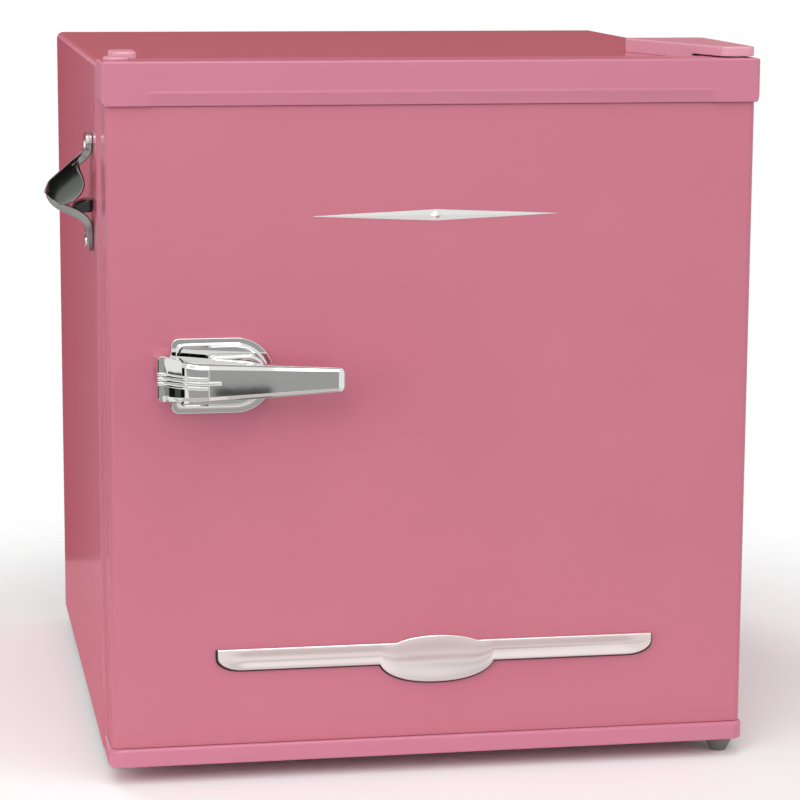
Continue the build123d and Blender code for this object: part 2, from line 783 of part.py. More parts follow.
def drain_pan():
    """The tray on the warm compressor where the drained water dries."""
    wide, deep, high, wall = 124.0, 86.0, 20.0, 1.6
    place = Pos(COMPRESSOR_RIGHT, compressor_y + 2.0)
    tray = slab_z(place * RectangleRounded(wide, deep, 10.0), compressor_top, compressor_top + high)
    inside = place * RectangleRounded(wide - 2 * wall, deep - 2 * wall, 10.0 - wall)
    return tray - slab_z(inside, compressor_top + wall, compressor_top + high)


def foot_pad(x, y, height, wide, narrow):
    """A foot that tapers to the floor."""
    tip = [(0, 0), (narrow / 2, 0), (narrow / 2 + 0.8, 1.5)]
    rim = [(wide / 2, height - 3.0), (wide / 2, height), (0, height)]
    return Pos(x, y, 0) * revolve(Plane.XZ * outline(*tip, *rim), Axis.Z)


def rear_feet():
    places = [(side * (half - 38.0), CABINET_DEPTH - 28.0) for side in (-1, 1)]
    return group(foot_pad(x, y, base, 24.0, 20.0) for x, y in places)


def front_left_foot():
    x, y = left_foot
    foot = foot_pad(x, y, base, FOOT_TOP, FOOT_TIP)
    return foot + upright(x, y, base, base + FOOT_BOSS, FOOT_STUD / 2)


def front_right_foot():
    """The foot under the lower hinge, screwed on the stud below the pin."""
    height = base - HINGE_STEEL
    foot = foot_pad(hinge_x, hinge_y, height, FOOT_TOP, FOOT_TIP)
    return foot - upright(hinge_x, hinge_y, FOOT_SOLE, height, FOOT_STUD / 2 + PLAY)


def hinge_outline(margin):
    """The plan of a hinge: straight along the cabinet's side, narrowing from its screws to the pin."""
    right = hinge_x + HINGE_NOSE + margin
    left = hinge_x + HINGE_NOSE - HINGE_SPREAD - margin
    neck = hinge_x - HINGE_NOSE - margin
    front = hinge_y - HINGE_NOSE - margin
    back = HINGE_LENGTH + margin
    plan = outline((right, front), (right, back), (left, back), (neck, front))
    return fillet(plan.vertices(), HINGE_CORNER + margin)


def top_hinge_plate():
    """A steel plate screwed on the cabinet, cranked up to pass over the door."""
    over = door_top + PLATE_CLEARANCE
    run = [(2 * door_front, over), (3.0, over), (9.0, top), (2 * HINGE_LENGTH, top)]
    plate = slab_x(folded(run, HINGE_STEEL), 0, CABINET_WIDTH)
    plate &= slab_z(hinge_outline(0), top - 1.0, over + 10.0)
    for x, y in hinge_screw_places():
        plate -= upright(x, y, top, top + HINGE_STEEL, SCREW / 2)
    return plate - upright(hinge_x, hinge_y, top, over + HINGE_STEEL, TOP_PIN / 2 - 1.0)


def top_hinge_pin():
    """The pin riveted in the plate, reaching down into the door."""
    over = door_top + PLATE_CLEARANCE
    pin = upright(hinge_x, hinge_y, door_top - BUSH_DEPTH + 3.0, over, TOP_PIN / 2)
    return pin + upright(hinge_x, hinge_y, over, over + HINGE_STEEL, TOP_PIN / 2 - 1.0)


def screw(x, y, seat, head, shank):
    """A screw with its head over the seat and its shank below, or the other way for a negative head."""
    ends = sorted((seat, seat + head))
    shank_ends = sorted((seat, seat - shank))
    body = upright(x, y, ends[0], ends[1], SCREW_HEAD / 2)
    return body + upright(x, y, shank_ends[0], shank_ends[1], SCREW / 2)


def top_hinge_screws():
    seat = top + HINGE_STEEL
    shank = HINGE_STEEL + SCREW_LENGTH
    return group(screw(x, y, seat, 2.8, shank) for x, y in hinge_screw_places())


def hinge_cover():
    """The moulded cover over the top hinge. Its front stands clear of the door that turns below it."""
    lid = top + COVER_HEIGHT
    cover = slab_z(hinge_outline(COVER_MARGIN), top, lid)
    cover = fillet(cover.faces().sort_by(Axis.Z)[-1].edges(), 1.5)
    cover -= slab_z(hinge_outline(COVER_MARGIN - COVER_WALL), top, lid - COVER_WALL)
    return cover - span(0, CABINET_WIDTH, 2 * door_front, 0, top - 1.0, door_top + PLATE_CLEARANCE)


def hinge_hole_cap():
    """The cap over the hinge holes on the other side of the cabinet's top."""
    plan = RectangleRounded(HOLE_CAP_WIDE, HOLE_CAP_LONG, 0.39 * HOLE_CAP_WIDE)
    cap = slab_z(Pos(hole_cap_x, HOLE_CAP_BACK) * plan, top, top + 5.0)
    cap = fillet(cap.faces().sort_by(Axis.Z)[-1].edges(), 2.0)
    return cap + upright(hole_cap_x, HOLE_CAP_BACK, top - SCREW_LENGTH, top, HOLE_CAP_STEM / 2)


def bottom_hinge_plate():
    plate = slab_z(hinge_outline(0), base - HINGE_STEEL, base)
    for x, y in hinge_screw_places():
        plate -= upright(x, y, 0, base, SCREW / 2)
    return plate - upright(hinge_x, hinge_y, 0, base, BOTTOM_PIN / 2)


def bottom_hinge_pin():
    """The pin that the door turns on, with a flange on the plate and a stud for the foot below it."""
    plate_low = base - HINGE_STEEL
    pin = upright(hinge_x, hinge_y, plate_low, door_low + BUSH_DEPTH - 3.0, BOTTOM_PIN / 2)
    pin += upright(hinge_x, hinge_y, base, door_low - GAP, BUSH / 2)
    return pin + upright(hinge_x, hinge_y, FOOT_SOLE + GAP, plate_low, FOOT_STUD / 2)


def bottom_hinge_screws():
    seat = base - HINGE_STEEL
    shank = -HINGE_STEEL - SCREW_LENGTH
    return group(screw(x, y, seat, -2.4, shank) for x, y in hinge_screw_places())


def back_screws():
    screws = []
    for x, z in back_screw_places():
        head = lengthwise(x, z, CABINET_DEPTH, CABINET_DEPTH + BACK_SCREW_HEAD, 3.6)
        shank = lengthwise(x, z, CABINET_DEPTH - SCREW_LENGTH, CABINET_DEPTH, BACK_SCREW / 2)
        screws.append(head + shank)
    return group(screws)


def opener_point(out, drop):
    """A point of the opener from its end: how far it stands off the wall, and how far below its top."""
    return (left_side - out, opener_top - drop)


def opener_strap():
    """The opener's strip from its end: out from the tab, round the nose and back to the wall."""
    at = opener_point
    reach = OPENER_REACH
    sheet = OPENER_SHEET
    ridge = Line(at(sheet, 16.0), at(reach - 2.0, 34.5))
    nose = ThreePointArc(at(reach - 2.0, 34.5), at(reach, 39.0), at(reach - 2.0, 43.5))
    under = Spline(at(reach - 2.0, 43.5), at(25.0, 49.5), at(16.5, 53.0), at(8.5, 57.0), at(sheet, 65.0))
    wall = Polyline(at(sheet, 65.0), at(sheet, 81.0), at(0, 81.0), at(0, 0), at(sheet, 0), at(sheet, 16.0))
    outside = make_face(ridge + nose + under + wall)
    roof = Line(at(-1.0, 17.2), at(reach - 5.5, 36.2))
    end = ThreePointArc(at(reach - 5.5, 36.2), at(reach - 3.5, 39.0), at(reach - 5.5, 41.8))
    floor = Spline(at(reach - 5.5, 41.8), at(22.0, 46.0), at(14.0, 49.5), at(5.0, 54.5), at(-1.0, 62.0))
    back = Line(at(-1.0, 62.0), at(-1.0, 17.2))
    return outside - make_face(roof + end + floor + back)


def visor_tube(inset):
    """The round of the visor, lying along the opener's ridge."""
    start = opener_point(OPENER_SHEET, 16.0)
    end = opener_point(OPENER_REACH - 2.0, 34.5)
    along = Vector(end[0] - start[0], 0, end[1] - start[1])
    frame = Plane((start[0], OPENER_BACK, start[1]), x_dir=(0, 1, 0), z_dir=along)
    oval = Pos(0, OPENER_ARCH) * Ellipse(OPENER_WIDTH / 2 - inset, OPENER_ARCH - inset)
    return extrude(frame * oval, 2 * OPENER_REACH, both=True)


def opener_visor():
    """The arched visor over the bottle's cap: its two flanks hang down from the ridge like a leaf."""
    at = opener_point
    reach = OPENER_REACH
    ridge = Line(at(OPENER_SHEET, 14.0), at(reach - 2.0, 33.0))
    nose = ThreePointArc(at(reach - 2.0, 33.0), at(reach, 39.0), at(reach - 2.0, 45.0))
    low_rim = [at(reach - 2.0, 45.0), at(21.0, 46.0), at(10.0, 40.0)]
    rim = Spline(*low_rim, at(3.0, 31.0), at(7.5, 22.5), at(OPENER_SHEET, 14.0))
    leaf = slab_y(make_face(ridge + nose + rim), OPENER_BACK - OPENER_WIDTH, OPENER_BACK + OPENER_WIDTH)
    return (visor_tube(0) - visor_tube(VISOR_SHEET)) & leaf


def bottle_opener():
    """A bent opener on the left side: a tab, a strip with an arched visor, and a tail."""
    wide = OPENER_WIDTH / 2
    body = slab_y(opener_strap(), OPENER_BACK - wide, OPENER_BACK + wide)
    tab = Pos(OPENER_BACK, opener_top - 9.0) * RectangleRounded(1.5 * wide, 18.0, 8.0)
    strip = Pos(OPENER_BACK, opener_top - 34.0) * Rectangle(0.7 * wide, 50.0)
    tail = Pos(OPENER_BACK, opener_top - 61.0) * SlotOverall(40.0, 0.95 * wide, rotation=90)
    body &= slab_x(tab + strip + tail, left_side - 2 * OPENER_REACH, left_side + 1.0)
    body += opener_visor()
    for z in opener_screw_heights():
        body -= crosswise(OPENER_BACK, z, left_side - OPENER_SHEET, left_side, SCREW / 2)
    return body


def opener_screws():
    screws = []
    seat = left_side - OPENER_SHEET
    for z in opener_screw_heights():
        head = crosswise(OPENER_BACK, z, seat - 2.2, seat, SCREW_HEAD / 2)
        screws.append(head + crosswise(OPENER_BACK, z, seat, left_side + SCREW_LENGTH, SCREW / 2))
    return group(screws)


def skin_block(inset):
    """The door's folded skin as a block, or the space inside it."""
    x = skin_half - inset
    block = span(-x, x, skin_front + inset, door_back - inset, skin_low, skin_top)
    front = block.edges().filter_by(Axis.Z).group_by(Axis.Y)[0]
    return fillet(front, SKIN_RADIUS - inset)


def stud_places():
    """Where the studs of the handle pass through the skin: x and z."""
    return [(handle_x + 16.0, handle_z), (handle_x + 46.0, handle_z)]


def door_skin():
    skin = skin_block(0) - skin_block(STEEL)
    x = skin_half - SKIN_RETURN
    skin -= span(-x, x, door_back - 2 * STEEL, door_back + STEEL, 0, top)
    for x, z in stud_places():
        skin -= lengthwise(x, z, skin_front - STEEL, skin_front + 2 * STEEL, STUD / 2)
    return skin


def door_foam():
    low = skin_low + CAP_TONGUE
    high = skin_top - CAP_TONGUE
    x = skin_half - SKIN_RETURN
    foam = skin_block(STEEL) + span(-x, x, door_back - 2 * STEEL, door_back, skin_low, skin_top)
    foam &= span(-half, half, door_front, 0, low, high)
    for x, z in stud_places():
        foam -= lengthwise(x, z, skin_front, skin_front + STUD_LENGTH, STUD / 2)
    return foam


def cap_tongue(low, high):
    """The plug of an end cap inside the skin."""
    inset = STEEL + TONGUE_PLAY
    front = skin_front + SKIN_RADIUS
    return span(-skin_half + inset, skin_half - inset, front, door_back - inset, low, high)


def door_top_cap():
    """The upper end cap, with a long scooped crease along the lower part of its front."""
    cap = span(-half, half, door_front, door_back, skin_top, door_top)
    cap = fillet(cap.edges().filter_by(Axis.Z).group_by(Axis.Y)[0], TOP_CAP_RADIUS)
    upper = cap.faces().sort_by(Axis.Z)[-1].edges().sort_by(Axis.Y)[:-1]
    cap = fillet(upper, 1.2)
    crease = skin_top + CREASE_RISE
    out = door_front - 1.0
    under = outline((out, crease), (door_front, crease), (door_front + CREASE_CUT, skin_top), (out, skin_top))
    cap -= slab_x(under, -half + CREASE_INSET, half - CREASE_INSET)
    for side in (-1, 1):
        edge = side * half
        high = skin_top + CAP_BEVEL
        bevel = outline((2 * edge, skin_top), (side * skin_half, skin_top), (edge, high), (2 * edge, high))
        cap -= slab_y(bevel, 2 * door_front, 0)
    cap += cap_tongue(skin_top - CAP_TONGUE, skin_top)
    return cap - hinge_holes(door_top - BUSH_DEPTH, door_top, BUSH / 2)


def door_bottom_cap():
    """The lower end cap, with rounder corners and a rolled upper edge."""
    cap = span(-half, half, door_front, door_back, door_low, skin_low)
    cap = fillet(cap.edges().filter_by(Axis.Z).group_by(Axis.Y)[0], BOTTOM_CAP_RADIUS)
    upper = cap.faces().sort_by(Axis.Z)[-1].edges().sort_by(Axis.Y)[:-1]
    cap = fillet(upper, 2.0)
    lower = cap.faces().sort_by(Axis.Z)[0].edges().sort_by(Axis.Y)[:-1]
    cap = fillet(lower, 1.0)
    cap += cap_tongue(skin_low, skin_low + CAP_TONGUE)
    return cap - hinge_holes(door_low, door_low + BUSH_DEPTH, BUSH / 2)


def door_liner():
    """The moulded inside of the door: a flat rim, a raised dike round it and bosses under the bins."""
    margin = 4.0
    liner = span(-half + margin, half - margin, door_back, -GASKET, door_low + margin, door_top - margin)
    liner += slab_y(panel(-dike_x, dike_x, dike_low, dike_top, 12.0), -GASKET, dike_reach)
    inner = dike_x - DIKE_WIDTH
    pocket = panel(-inner, inner, dike_low + DIKE_WIDTH, dike_top - DIKE_WIDTH, 8.0)
    liner -= slab_y(pocket, -GASKET, dike_reach)
    for low in (cavity_floor + LOWER_BIN_RISE, cavity_floor + UPPER_BIN_RISE):
        for side in (-1, 1):
            x = side * (inner - 2 * BOSS_SIZE)
            liner += span(x - BOSS_SIZE, x + BOSS_SIZE, -GASKET, -GASKET + BOSS_SIZE, low - BOSS_SIZE, low)
    return liner


def frame_ring(y0, y1, inset, wide):
    """A flat ring round the door, inset from the cabinet's sides."""
    outside = panel(-half + inset, half - inset, base + inset, top - inset, 8.0)
    inset += wide
    inside = panel(-half + inset, half - inset, base + inset, top - inset, 4.0)
    return slab_y(outside, y0, y1) - slab_y(inside, y0, y1)


def door_gasket():
    """The magnetic seal: a foot on the door, a narrow bellows and the face that meets the cabinet."""
    foot = -GASKET + 2.0
    seal = -GAP - 2.9
    ring = frame_ring(-GASKET, foot, GASKET_INSET, GASKET_FOOT)
    ring += frame_ring(foot, seal, GASKET_INSET + 4.0, GASKET_SEAL)
    return ring + frame_ring(seal, -GAP, HINGE_INSET - 2.0, GASKET_SEAL)


def door_bin(low, high, reach):
    """An open bin on the inside of the door."""
    x = dike_x - DIKE_WIDTH - BIN_GAP
    back = -GASKET
    tub = span(-x, x, back, back + reach, low, low + high)
    tub = fillet(tub.edges().filter_by(Axis.Z).group_by(Axis.Y)[-1], BIN_RADIUS)
    tub = fillet(tub.faces().sort_by(Axis.Z)[0].edges().group_by(Axis.Y)[-1], 3.0)
    wall = BIN_WALL
    inside = span(-x + wall, x - wall, back + wall, back + reach - wall, low + wall, low + high)
    inside = fillet(inside.edges().filter_by(Axis.Z).group_by(Axis.Y)[-1], BIN_RADIUS - wall)
    return tub - inside


def door_bin_lower():
    return door_bin(cavity_floor + LOWER_BIN_RISE, LOWER_BIN_HEIGHT, LOWER_BIN_REACH)


def door_bin_upper():
    return door_bin(cavity_floor + UPPER_BIN_RISE, UPPER_BIN_HEIGHT, UPPER_BIN_REACH)


def escutcheon_face(inset):
    """The handle's plate from the front: square at the left, a half round at the right."""
    radius = HANDLE_WIDTH / 2 - inset
    left = handle_x + inset
    right = handle_x + HANDLE_LENGTH - inset - radius
    middle = (left + right) / 2
    square = Pos(middle, handle_z) * Rectangle(right - left, 2 * radius)
    square = fillet(square.vertices().group_by(Axis.X)[0], 5.0)
    return square + Pos(right, handle_z) * Circle(radius)


def handle_base():
    """The chromed plate of the handle, in two steps with rolled edges."""
    step = skin_front - HANDLE_PLATE
    plate = slab_y(escutcheon_face(0), step, skin_front)
    plate = fillet(plate.faces().sort_by(Axis.Y)[0].edges(), 3.0)
    pad = slab_y(escutcheon_face(7.0), plate_front, step)
    pad = fillet(pad.faces().sort_by(Axis.Y)[0].edges(), 1.5)
    return plate + pad


def lever_plan(proud):
    """The lever from above: it wraps round the left end of the plate and runs out to the right."""
    wall = skin_front
    front = lever_front - proud
    left = lever_x - proud
    right = lever_x + LEVER_LENGTH
    inner = lever_front + LEVER_THICK
    heel = handle_x + 42.0
    wrap = Bezier((left, wall), (left, wall - 0.62 * LEVER_REACH), (left + 12.0, front), (left + 34.0, front))
    face = Line((left + 34.0, front), (right - 5.0, front + 2.0))
    end = ThreePointArc((right - 5.0, front + 2.0), (right, (front + inner) / 2 + 1.0), (right - 5.0, inner))
    back = Line((right - 5.0, inner), (heel + 12.0, inner))
    throat = ThreePointArc((heel + 12.0, inner), (heel + 3.5, inner + 3.5), (heel, plate_front))
    seat = Polyline((heel, plate_front), (handle_x - GAP, plate_front), (handle_x - GAP, wall), (left, wall))
    return make_face(wrap + face + end + back + throat + seat)


def handle_lever():
    """The pull: a block that tapers to the right, with three ribs wrapped round its left end."""
    right = lever_x + LEVER_LENGTH
    root = LEVER_ROOT / 2
    tip = LEVER_TIP / 2
    middle = handle_z
    front = make_face(
        Polyline(
            (lever_x - 1.0, middle - root),
            (lever_x + 36.0, middle - root + 1.2),
            (right, middle - tip),
            (right, middle + tip),
            (lever_x + 36.0, middle + root - 1.2),
            (lever_x - 1.0, middle + root),
            close=True,
        )
    )
    front = fillet(front.vertices().group_by(Axis.X)[-1], 4.0)
    lever = slab_z(lever_plan(0), middle - root, middle + root) & slab_y(front, 2 * lever_front, skin_front)
    lever = fillet(lever_edges(lever), LEVER_EDGE)
    for pitch, length in ((-3.2, 38.0), (0, 46.0), (3.2, 38.0)):
        rib = slab_z(lever_plan(LEVER_RIB), middle + pitch - 1.0, middle + pitch + 1.0)
        lever += rib & span(2 * lever_x, lever_x + length, 2 * lever_front, skin_front, 0, top)
    return lever


def lever_edges(lever):
    """The long upper and lower edges of the lever's front."""
    level = LEVER_TIP / 2 - 1.0
    long_edges = [edge for edge in lever.edges() if edge.length > 20.0]
    outer = [edge for edge in long_edges if abs(edge.center().Z - handle_z) > level]
    return [edge for edge in outer if edge.center().Y < lever_front + LEVER_THICK / 2]


def handle_studs():
    """The studs that hold the handle through the skin."""
    inside = skin_front + STUD_LENGTH
    return group(lengthwise(x, z, skin_front, inside, STUD / 2) for x, z in stud_places())


def lower_trim():
    """The long strip low on the door, with an oval bowl in its middle."""
    low = trim_top - TRIM_BAR
    middle = (trim_top + low) / 2
    bar = Pos(0, middle) * Rectangle(TRIM_LENGTH, TRIM_BAR)
    bar = fillet(bar.vertices().group_by(Axis.Y)[0], 0.9 * TRIM_BAR)
    bowl = Pos(0, trim_top + 1.8 - BOWL_HEIGHT / 2) * Ellipse(BOWL_LENGTH / 2, BOWL_HEIGHT / 2)
    trim = slab_y(bar + bowl, skin_front - TRIM_THICK, skin_front)
    return fillet(trim.faces().sort_by(Axis.Y)[0].edges(), 1.2)


def badge_bar():
    """A plain spear-shaped bar in the place of a name."""
    wide = BADGE_WIDTH / 2
    long = BADGE_LENGTH / 2
    z = badge_z
    spear = outline((-long, z), (0, z - wide), (long, z), (0, z + wide))
    return slab_y(spear, skin_front - BADGE_THICK, skin_front)


def top_hinge_bush():
    bush = upright(hinge_x, hinge_y, door_top - BUSH_DEPTH, door_top, BUSH / 2)
    return bush - upright(hinge_x, hinge_y, door_top - BUSH_DEPTH + 2.0, door_top, TOP_PIN / 2 + PLAY)


def bottom_hinge_bush():
    bush = upright(hinge_x, hinge_y, door_low, door_low + BUSH_DEPTH, BUSH / 2)
    return bush - upright(hinge_x, hinge_y, door_low, door_low + BUSH_DEPTH - 2.0, BOTTOM_PIN / 2 + PLAY)


def door_hole_plug():
    """The plugs in the unused hinge holes of the two end caps."""
    rim = BUSH / 2 + PLUG_RIM
    upper = upright(-hinge_x, hinge_y, door_top, door_top + PLUG_HEAD, rim)
    upper = fillet(upper.edges().sort_by(Axis.Z)[-1], 0.45 * PLUG_HEAD)
    upper += upright(-hinge_x, hinge_y, door_top - 0.75 * BUSH_DEPTH, door_top, BUSH / 2)
    lower = upright(-hinge_x, hinge_y, door_low - PLUG_HEAD, door_low, rim)
    lower = fillet(lower.edges().sort_by(Axis.Z)[0], 0.45 * PLUG_HEAD)
    lower += upright(-hinge_x, hinge_y, door_low, door_low + 0.75 * BUSH_DEPTH, BUSH / 2)
    return group([upper, lower])


PIECES = [
    cabinet_shell,
    back_panel,
    base_pan,
    cabinet_foam,
    inner_liner,
    shelf_rails,
    condenser_coil,
    evaporator,
    evaporator_spacers,
    icebox_frame,
    icebox_flap,
    drip_tray,
    shelf_glass,
    shelf_front_trim,
    shelf_rear_trim,
    thermostat_housing,
    thermostat_switch,
    thermostat_knob,
    drain_tube,
    compressor_plate,
    compressor,
    compressor_grommets,
    compressor_bolts,
    relay_cover,
    cord_gland,
    suction_pipe,
    discharge_pipe,
    filter_drier,
    capillary_tube,
    drain_pan,
    rear_feet,
    front_left_foot,
    front_right_foot,
    top_hinge_plate,
    top_hinge_pin,
    top_hinge_screws,
    hinge_cover,
    hinge_hole_cap,
    bottom_hinge_plate,
    bottom_hinge_pin,
    bottom_hinge_screws,
    back_screws,
    bottle_opener,
    opener_screws,
    door_skin,
    door_foam,
    door_top_cap,
    door_bottom_cap,
    door_liner,
    door_gasket,
    door_bin_lower,
    door_bin_upper,
    handle_base,
    handle_lever,
    handle_studs,
    lower_trim,
    badge_bar,
    top_hinge_bush,
    bottom_hinge_bush,
    door_hole_plug,
]


def origin_shift():
    """The move that brings the middle of the whole refrigerator's footprint to the origin."""
    low_x = left_side - OPENER_REACH
    front = lever_front - LEVER_RIB
    back = CABINET_DEPTH + BACK_SCREW_HEAD
    return Pos(-(low_x + half) / 2, -(front + back) / 2, 0)


def main():
    os.makedirs("parts", exist_ok=True)
    move = origin_shift()
    for piece in PIECES:
        export_step(move * piece(), f"parts/{piece.__name__}.step")


if __name__ == "__main__":
    main()
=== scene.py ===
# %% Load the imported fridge
import json
import math

import bmesh
import bpy
from mathutils import Matrix, Vector


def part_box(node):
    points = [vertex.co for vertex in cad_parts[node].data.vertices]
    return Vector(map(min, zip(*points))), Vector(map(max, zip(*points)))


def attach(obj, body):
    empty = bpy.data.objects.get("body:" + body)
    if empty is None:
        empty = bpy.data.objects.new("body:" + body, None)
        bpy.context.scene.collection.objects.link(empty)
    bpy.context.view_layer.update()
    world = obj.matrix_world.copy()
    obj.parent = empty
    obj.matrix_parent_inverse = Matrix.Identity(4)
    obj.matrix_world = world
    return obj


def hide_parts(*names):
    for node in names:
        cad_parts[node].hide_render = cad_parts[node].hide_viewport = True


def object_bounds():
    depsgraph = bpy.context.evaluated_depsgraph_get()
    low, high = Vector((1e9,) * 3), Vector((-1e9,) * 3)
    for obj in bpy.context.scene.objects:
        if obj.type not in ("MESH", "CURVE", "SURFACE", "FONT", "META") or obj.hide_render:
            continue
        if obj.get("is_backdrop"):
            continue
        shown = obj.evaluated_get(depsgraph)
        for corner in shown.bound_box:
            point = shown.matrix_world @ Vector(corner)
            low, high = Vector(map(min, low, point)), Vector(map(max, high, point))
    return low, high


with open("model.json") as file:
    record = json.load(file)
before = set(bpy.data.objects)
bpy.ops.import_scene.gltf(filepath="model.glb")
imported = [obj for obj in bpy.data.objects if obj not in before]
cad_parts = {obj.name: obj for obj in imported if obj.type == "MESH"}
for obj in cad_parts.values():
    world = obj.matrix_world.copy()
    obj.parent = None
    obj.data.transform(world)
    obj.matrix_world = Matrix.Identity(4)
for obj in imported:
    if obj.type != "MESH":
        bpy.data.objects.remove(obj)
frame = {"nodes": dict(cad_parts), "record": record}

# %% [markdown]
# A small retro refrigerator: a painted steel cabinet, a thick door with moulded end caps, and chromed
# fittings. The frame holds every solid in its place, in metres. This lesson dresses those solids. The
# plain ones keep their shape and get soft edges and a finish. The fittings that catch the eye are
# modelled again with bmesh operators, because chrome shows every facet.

MM = 0.001
cad_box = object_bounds()
record = frame["record"]
body_of_node = {}
for body, nodes in record["behaviour"]["bodies"].items():
    for node in nodes:
        body_of_node[node] = body
slot_of_node = {part["node"]: part["material_slot"] for part in record["subparts"]}

# %% [markdown]
# Finishes come first. Each one starts from the real material and how its surface was made. Colours are
# written as sRGB hex, as a paint chart gives them, and one function turns them to the linear values that
# the shader needs. One more small function adds a node with its values and links.


# %% Colour and node helpers
def linear(code):
    """A hex colour as the four linear numbers of a shader socket."""
    channels = [int(code[start : start + 2], 16) / 255 for start in (1, 3, 5)]
    return tuple(c / 12.92 if c <= 0.04045 else ((c + 0.055) / 1.055) ** 2.4 for c in channels) + (1.0,)


def add_node(tree, kind, values=None, links=None, **settings):
    """A node with its settings, the values of its sockets and the links into them."""
    node = tree.nodes.new(kind)
    for name, value in settings.items():
        setattr(node, name, value)
    for socket, value in (values or {}).items():
        node.inputs[socket].default_value = value
    for socket, source in (links or {}).items():
        tree.links.new(source, node.inputs[socket])
    return node


print("case rose in linear light:", [round(c, 3) for c in linear("#C97487")])

# %% [markdown]
# Paint, moulded plastic, rubber and metal all need the same three things: a colour that drifts a little
# from place to place, a gloss that isn't even, and a fine relief. A noise 70 mm wide moves the colour. A
# finer noise, as wide as the material's own grain, moves the roughness and lifts the bump. The grain and
# the relief are given in millimetres, so that they keep their size on a large panel and on a small screw.


# %% The common build of a finish
FINISHES = {}
DRIFT = 70 * MM
UNEVEN = 0.04


def finish(slot, name, colour, shade, rough, grain, relief, stretch=(1, 1, 1), **sockets):
    """A material with a drifting colour, an uneven gloss and a fine relief; grain and relief in mm."""
    material = bpy.data.materials.new(name)
    material.use_nodes = True
    tree = material.node_tree
    shader = tree.nodes["Principled BSDF"]
    place = add_node(tree, "ShaderNodeTexCoord").outputs["Object"]
    cloud = add_node(tree, "ShaderNodeTexNoise", {"Scale": 1 / DRIFT, "Detail": 3.0}, {"Vector": place})
    tint = add_node(
        tree,
        "ShaderNodeMixRGB",
        {"Color1": linear(colour), "Color2": linear(shade)},
        {"Fac": cloud.outputs["Fac"]},
    )
    turned = add_node(tree, "ShaderNodeMapping", {"Scale": stretch}, {"Vector": place})
    fine = add_node(
        tree,
        "ShaderNodeTexNoise",
        {"Scale": 1 / (grain * MM), "Detail": 2.0},
        {"Vector": turned.outputs["Vector"]},
    )
    gloss = add_node(
        tree,
        "ShaderNodeMapRange",
        {"From Min": 0.3, "From Max": 0.7, "To Min": (1 - UNEVEN) * rough, "To Max": (1 + UNEVEN) * rough},
        {"Value": fine.outputs["Fac"]},
    )
    bump = add_node(
        tree, "ShaderNodeBump", {"Strength": 1.0, "Distance": relief * MM}, {"Height": fine.outputs["Fac"]}
    )
    tree.links.new(tint.outputs["Color"], shader.inputs["Base Color"])
    tree.links.new(gloss.outputs["Result"], shader.inputs["Roughness"])
    tree.links.new(bump.outputs["Normal"], shader.inputs["Normal"])
    for socket, value in sockets.items():
        shader.inputs[socket.replace("_", " ")].default_value = value
    FINISHES[slot] = material
    return material


print("colour drifts over mm:", round(DRIFT / MM))

# %% [markdown]
# The case is steel sheet with baked enamel in a dusty rose. Enamel flows a little before it sets, which
# leaves a faint orange peel some 4 mm wide. The end caps are ABS in the same colour, a shade lighter and
# less sharp in its reflections than enamel on steel. The hinge cover and the plugs are the same ABS made
# paler: painted light, for the light they catch.

# %% Case colours
finish("case_paint", "rose enamel on steel", "#C97487", "#C56F82", 0.2, 4.0, 0.0005, IOR=1.5)
finish("case_plastic", "rose moulded ABS", "#CC7C93", "#C8778E", 0.26, 1.6, 0.0006, IOR=1.53)
# A paler copy of the rose ABS: painted light, for the light that the hinge cover and the plugs catch.
pale = finish("lit_pale_abs", "pale rose ABS", "#DFA2B2", "#DB9CAC", 0.28, 1.6, 0.0006, IOR=1.53)
finish("gasket", "rose vinyl seal", "#DA96A0", "#D08C97", 0.5, 2.0, 0.02, IOR=1.53)
print("case finishes:", len(FINISHES))

# %% [markdown]
# The fittings are zinc castings with polished chrome plate: nearly a mirror, with the faint
# waviness that hand polishing leaves. The long trim low on the door is satin silver, rolled and
# brushed along its length, so its grain is stretched along X.

# %% Bright metals
BRUSHED = (0.02, 1, 1)
ROLLED = (0.1, 1, 1)
finish("chrome", "polished chrome plate", "#E6E6E4", "#DEDEDC", 0.045, 9.0, 0.004, Metallic=1.0)
finish("satin_trim", "brushed satin silver", "#EFE5E3", "#E6DAD8", 0.24, 0.8, 0.004, BRUSHED, Metallic=1.0)
finish(
    "aluminium", "roll-bonded aluminium sheet", "#C9CCCE", "#B9BDC0", 0.38, 1.2, 0.01, ROLLED, Metallic=1.0
)
finish("zinc_steel", "zinc-plated steel", "#B9B7AE", "#A5A49E", 0.34, 1.5, 0.006, Metallic=1.0)
finish("copper", "drawn copper tube", "#C07A55", "#A5623F", 0.3, 2.0, 0.006, Metallic=1.0)
print("finishes so far:", len(FINISHES))

# %% [markdown]
# Inside, the liner is vacuum-formed polystyrene: white, with a soft gloss. The bins, the drip tray and
# the flap are translucent styrene with a cool tint. The shelf is tempered glass, which looks green where
# the eye looks along it. Rubber, foam, acetal and the painted and moulded black pieces close the list.

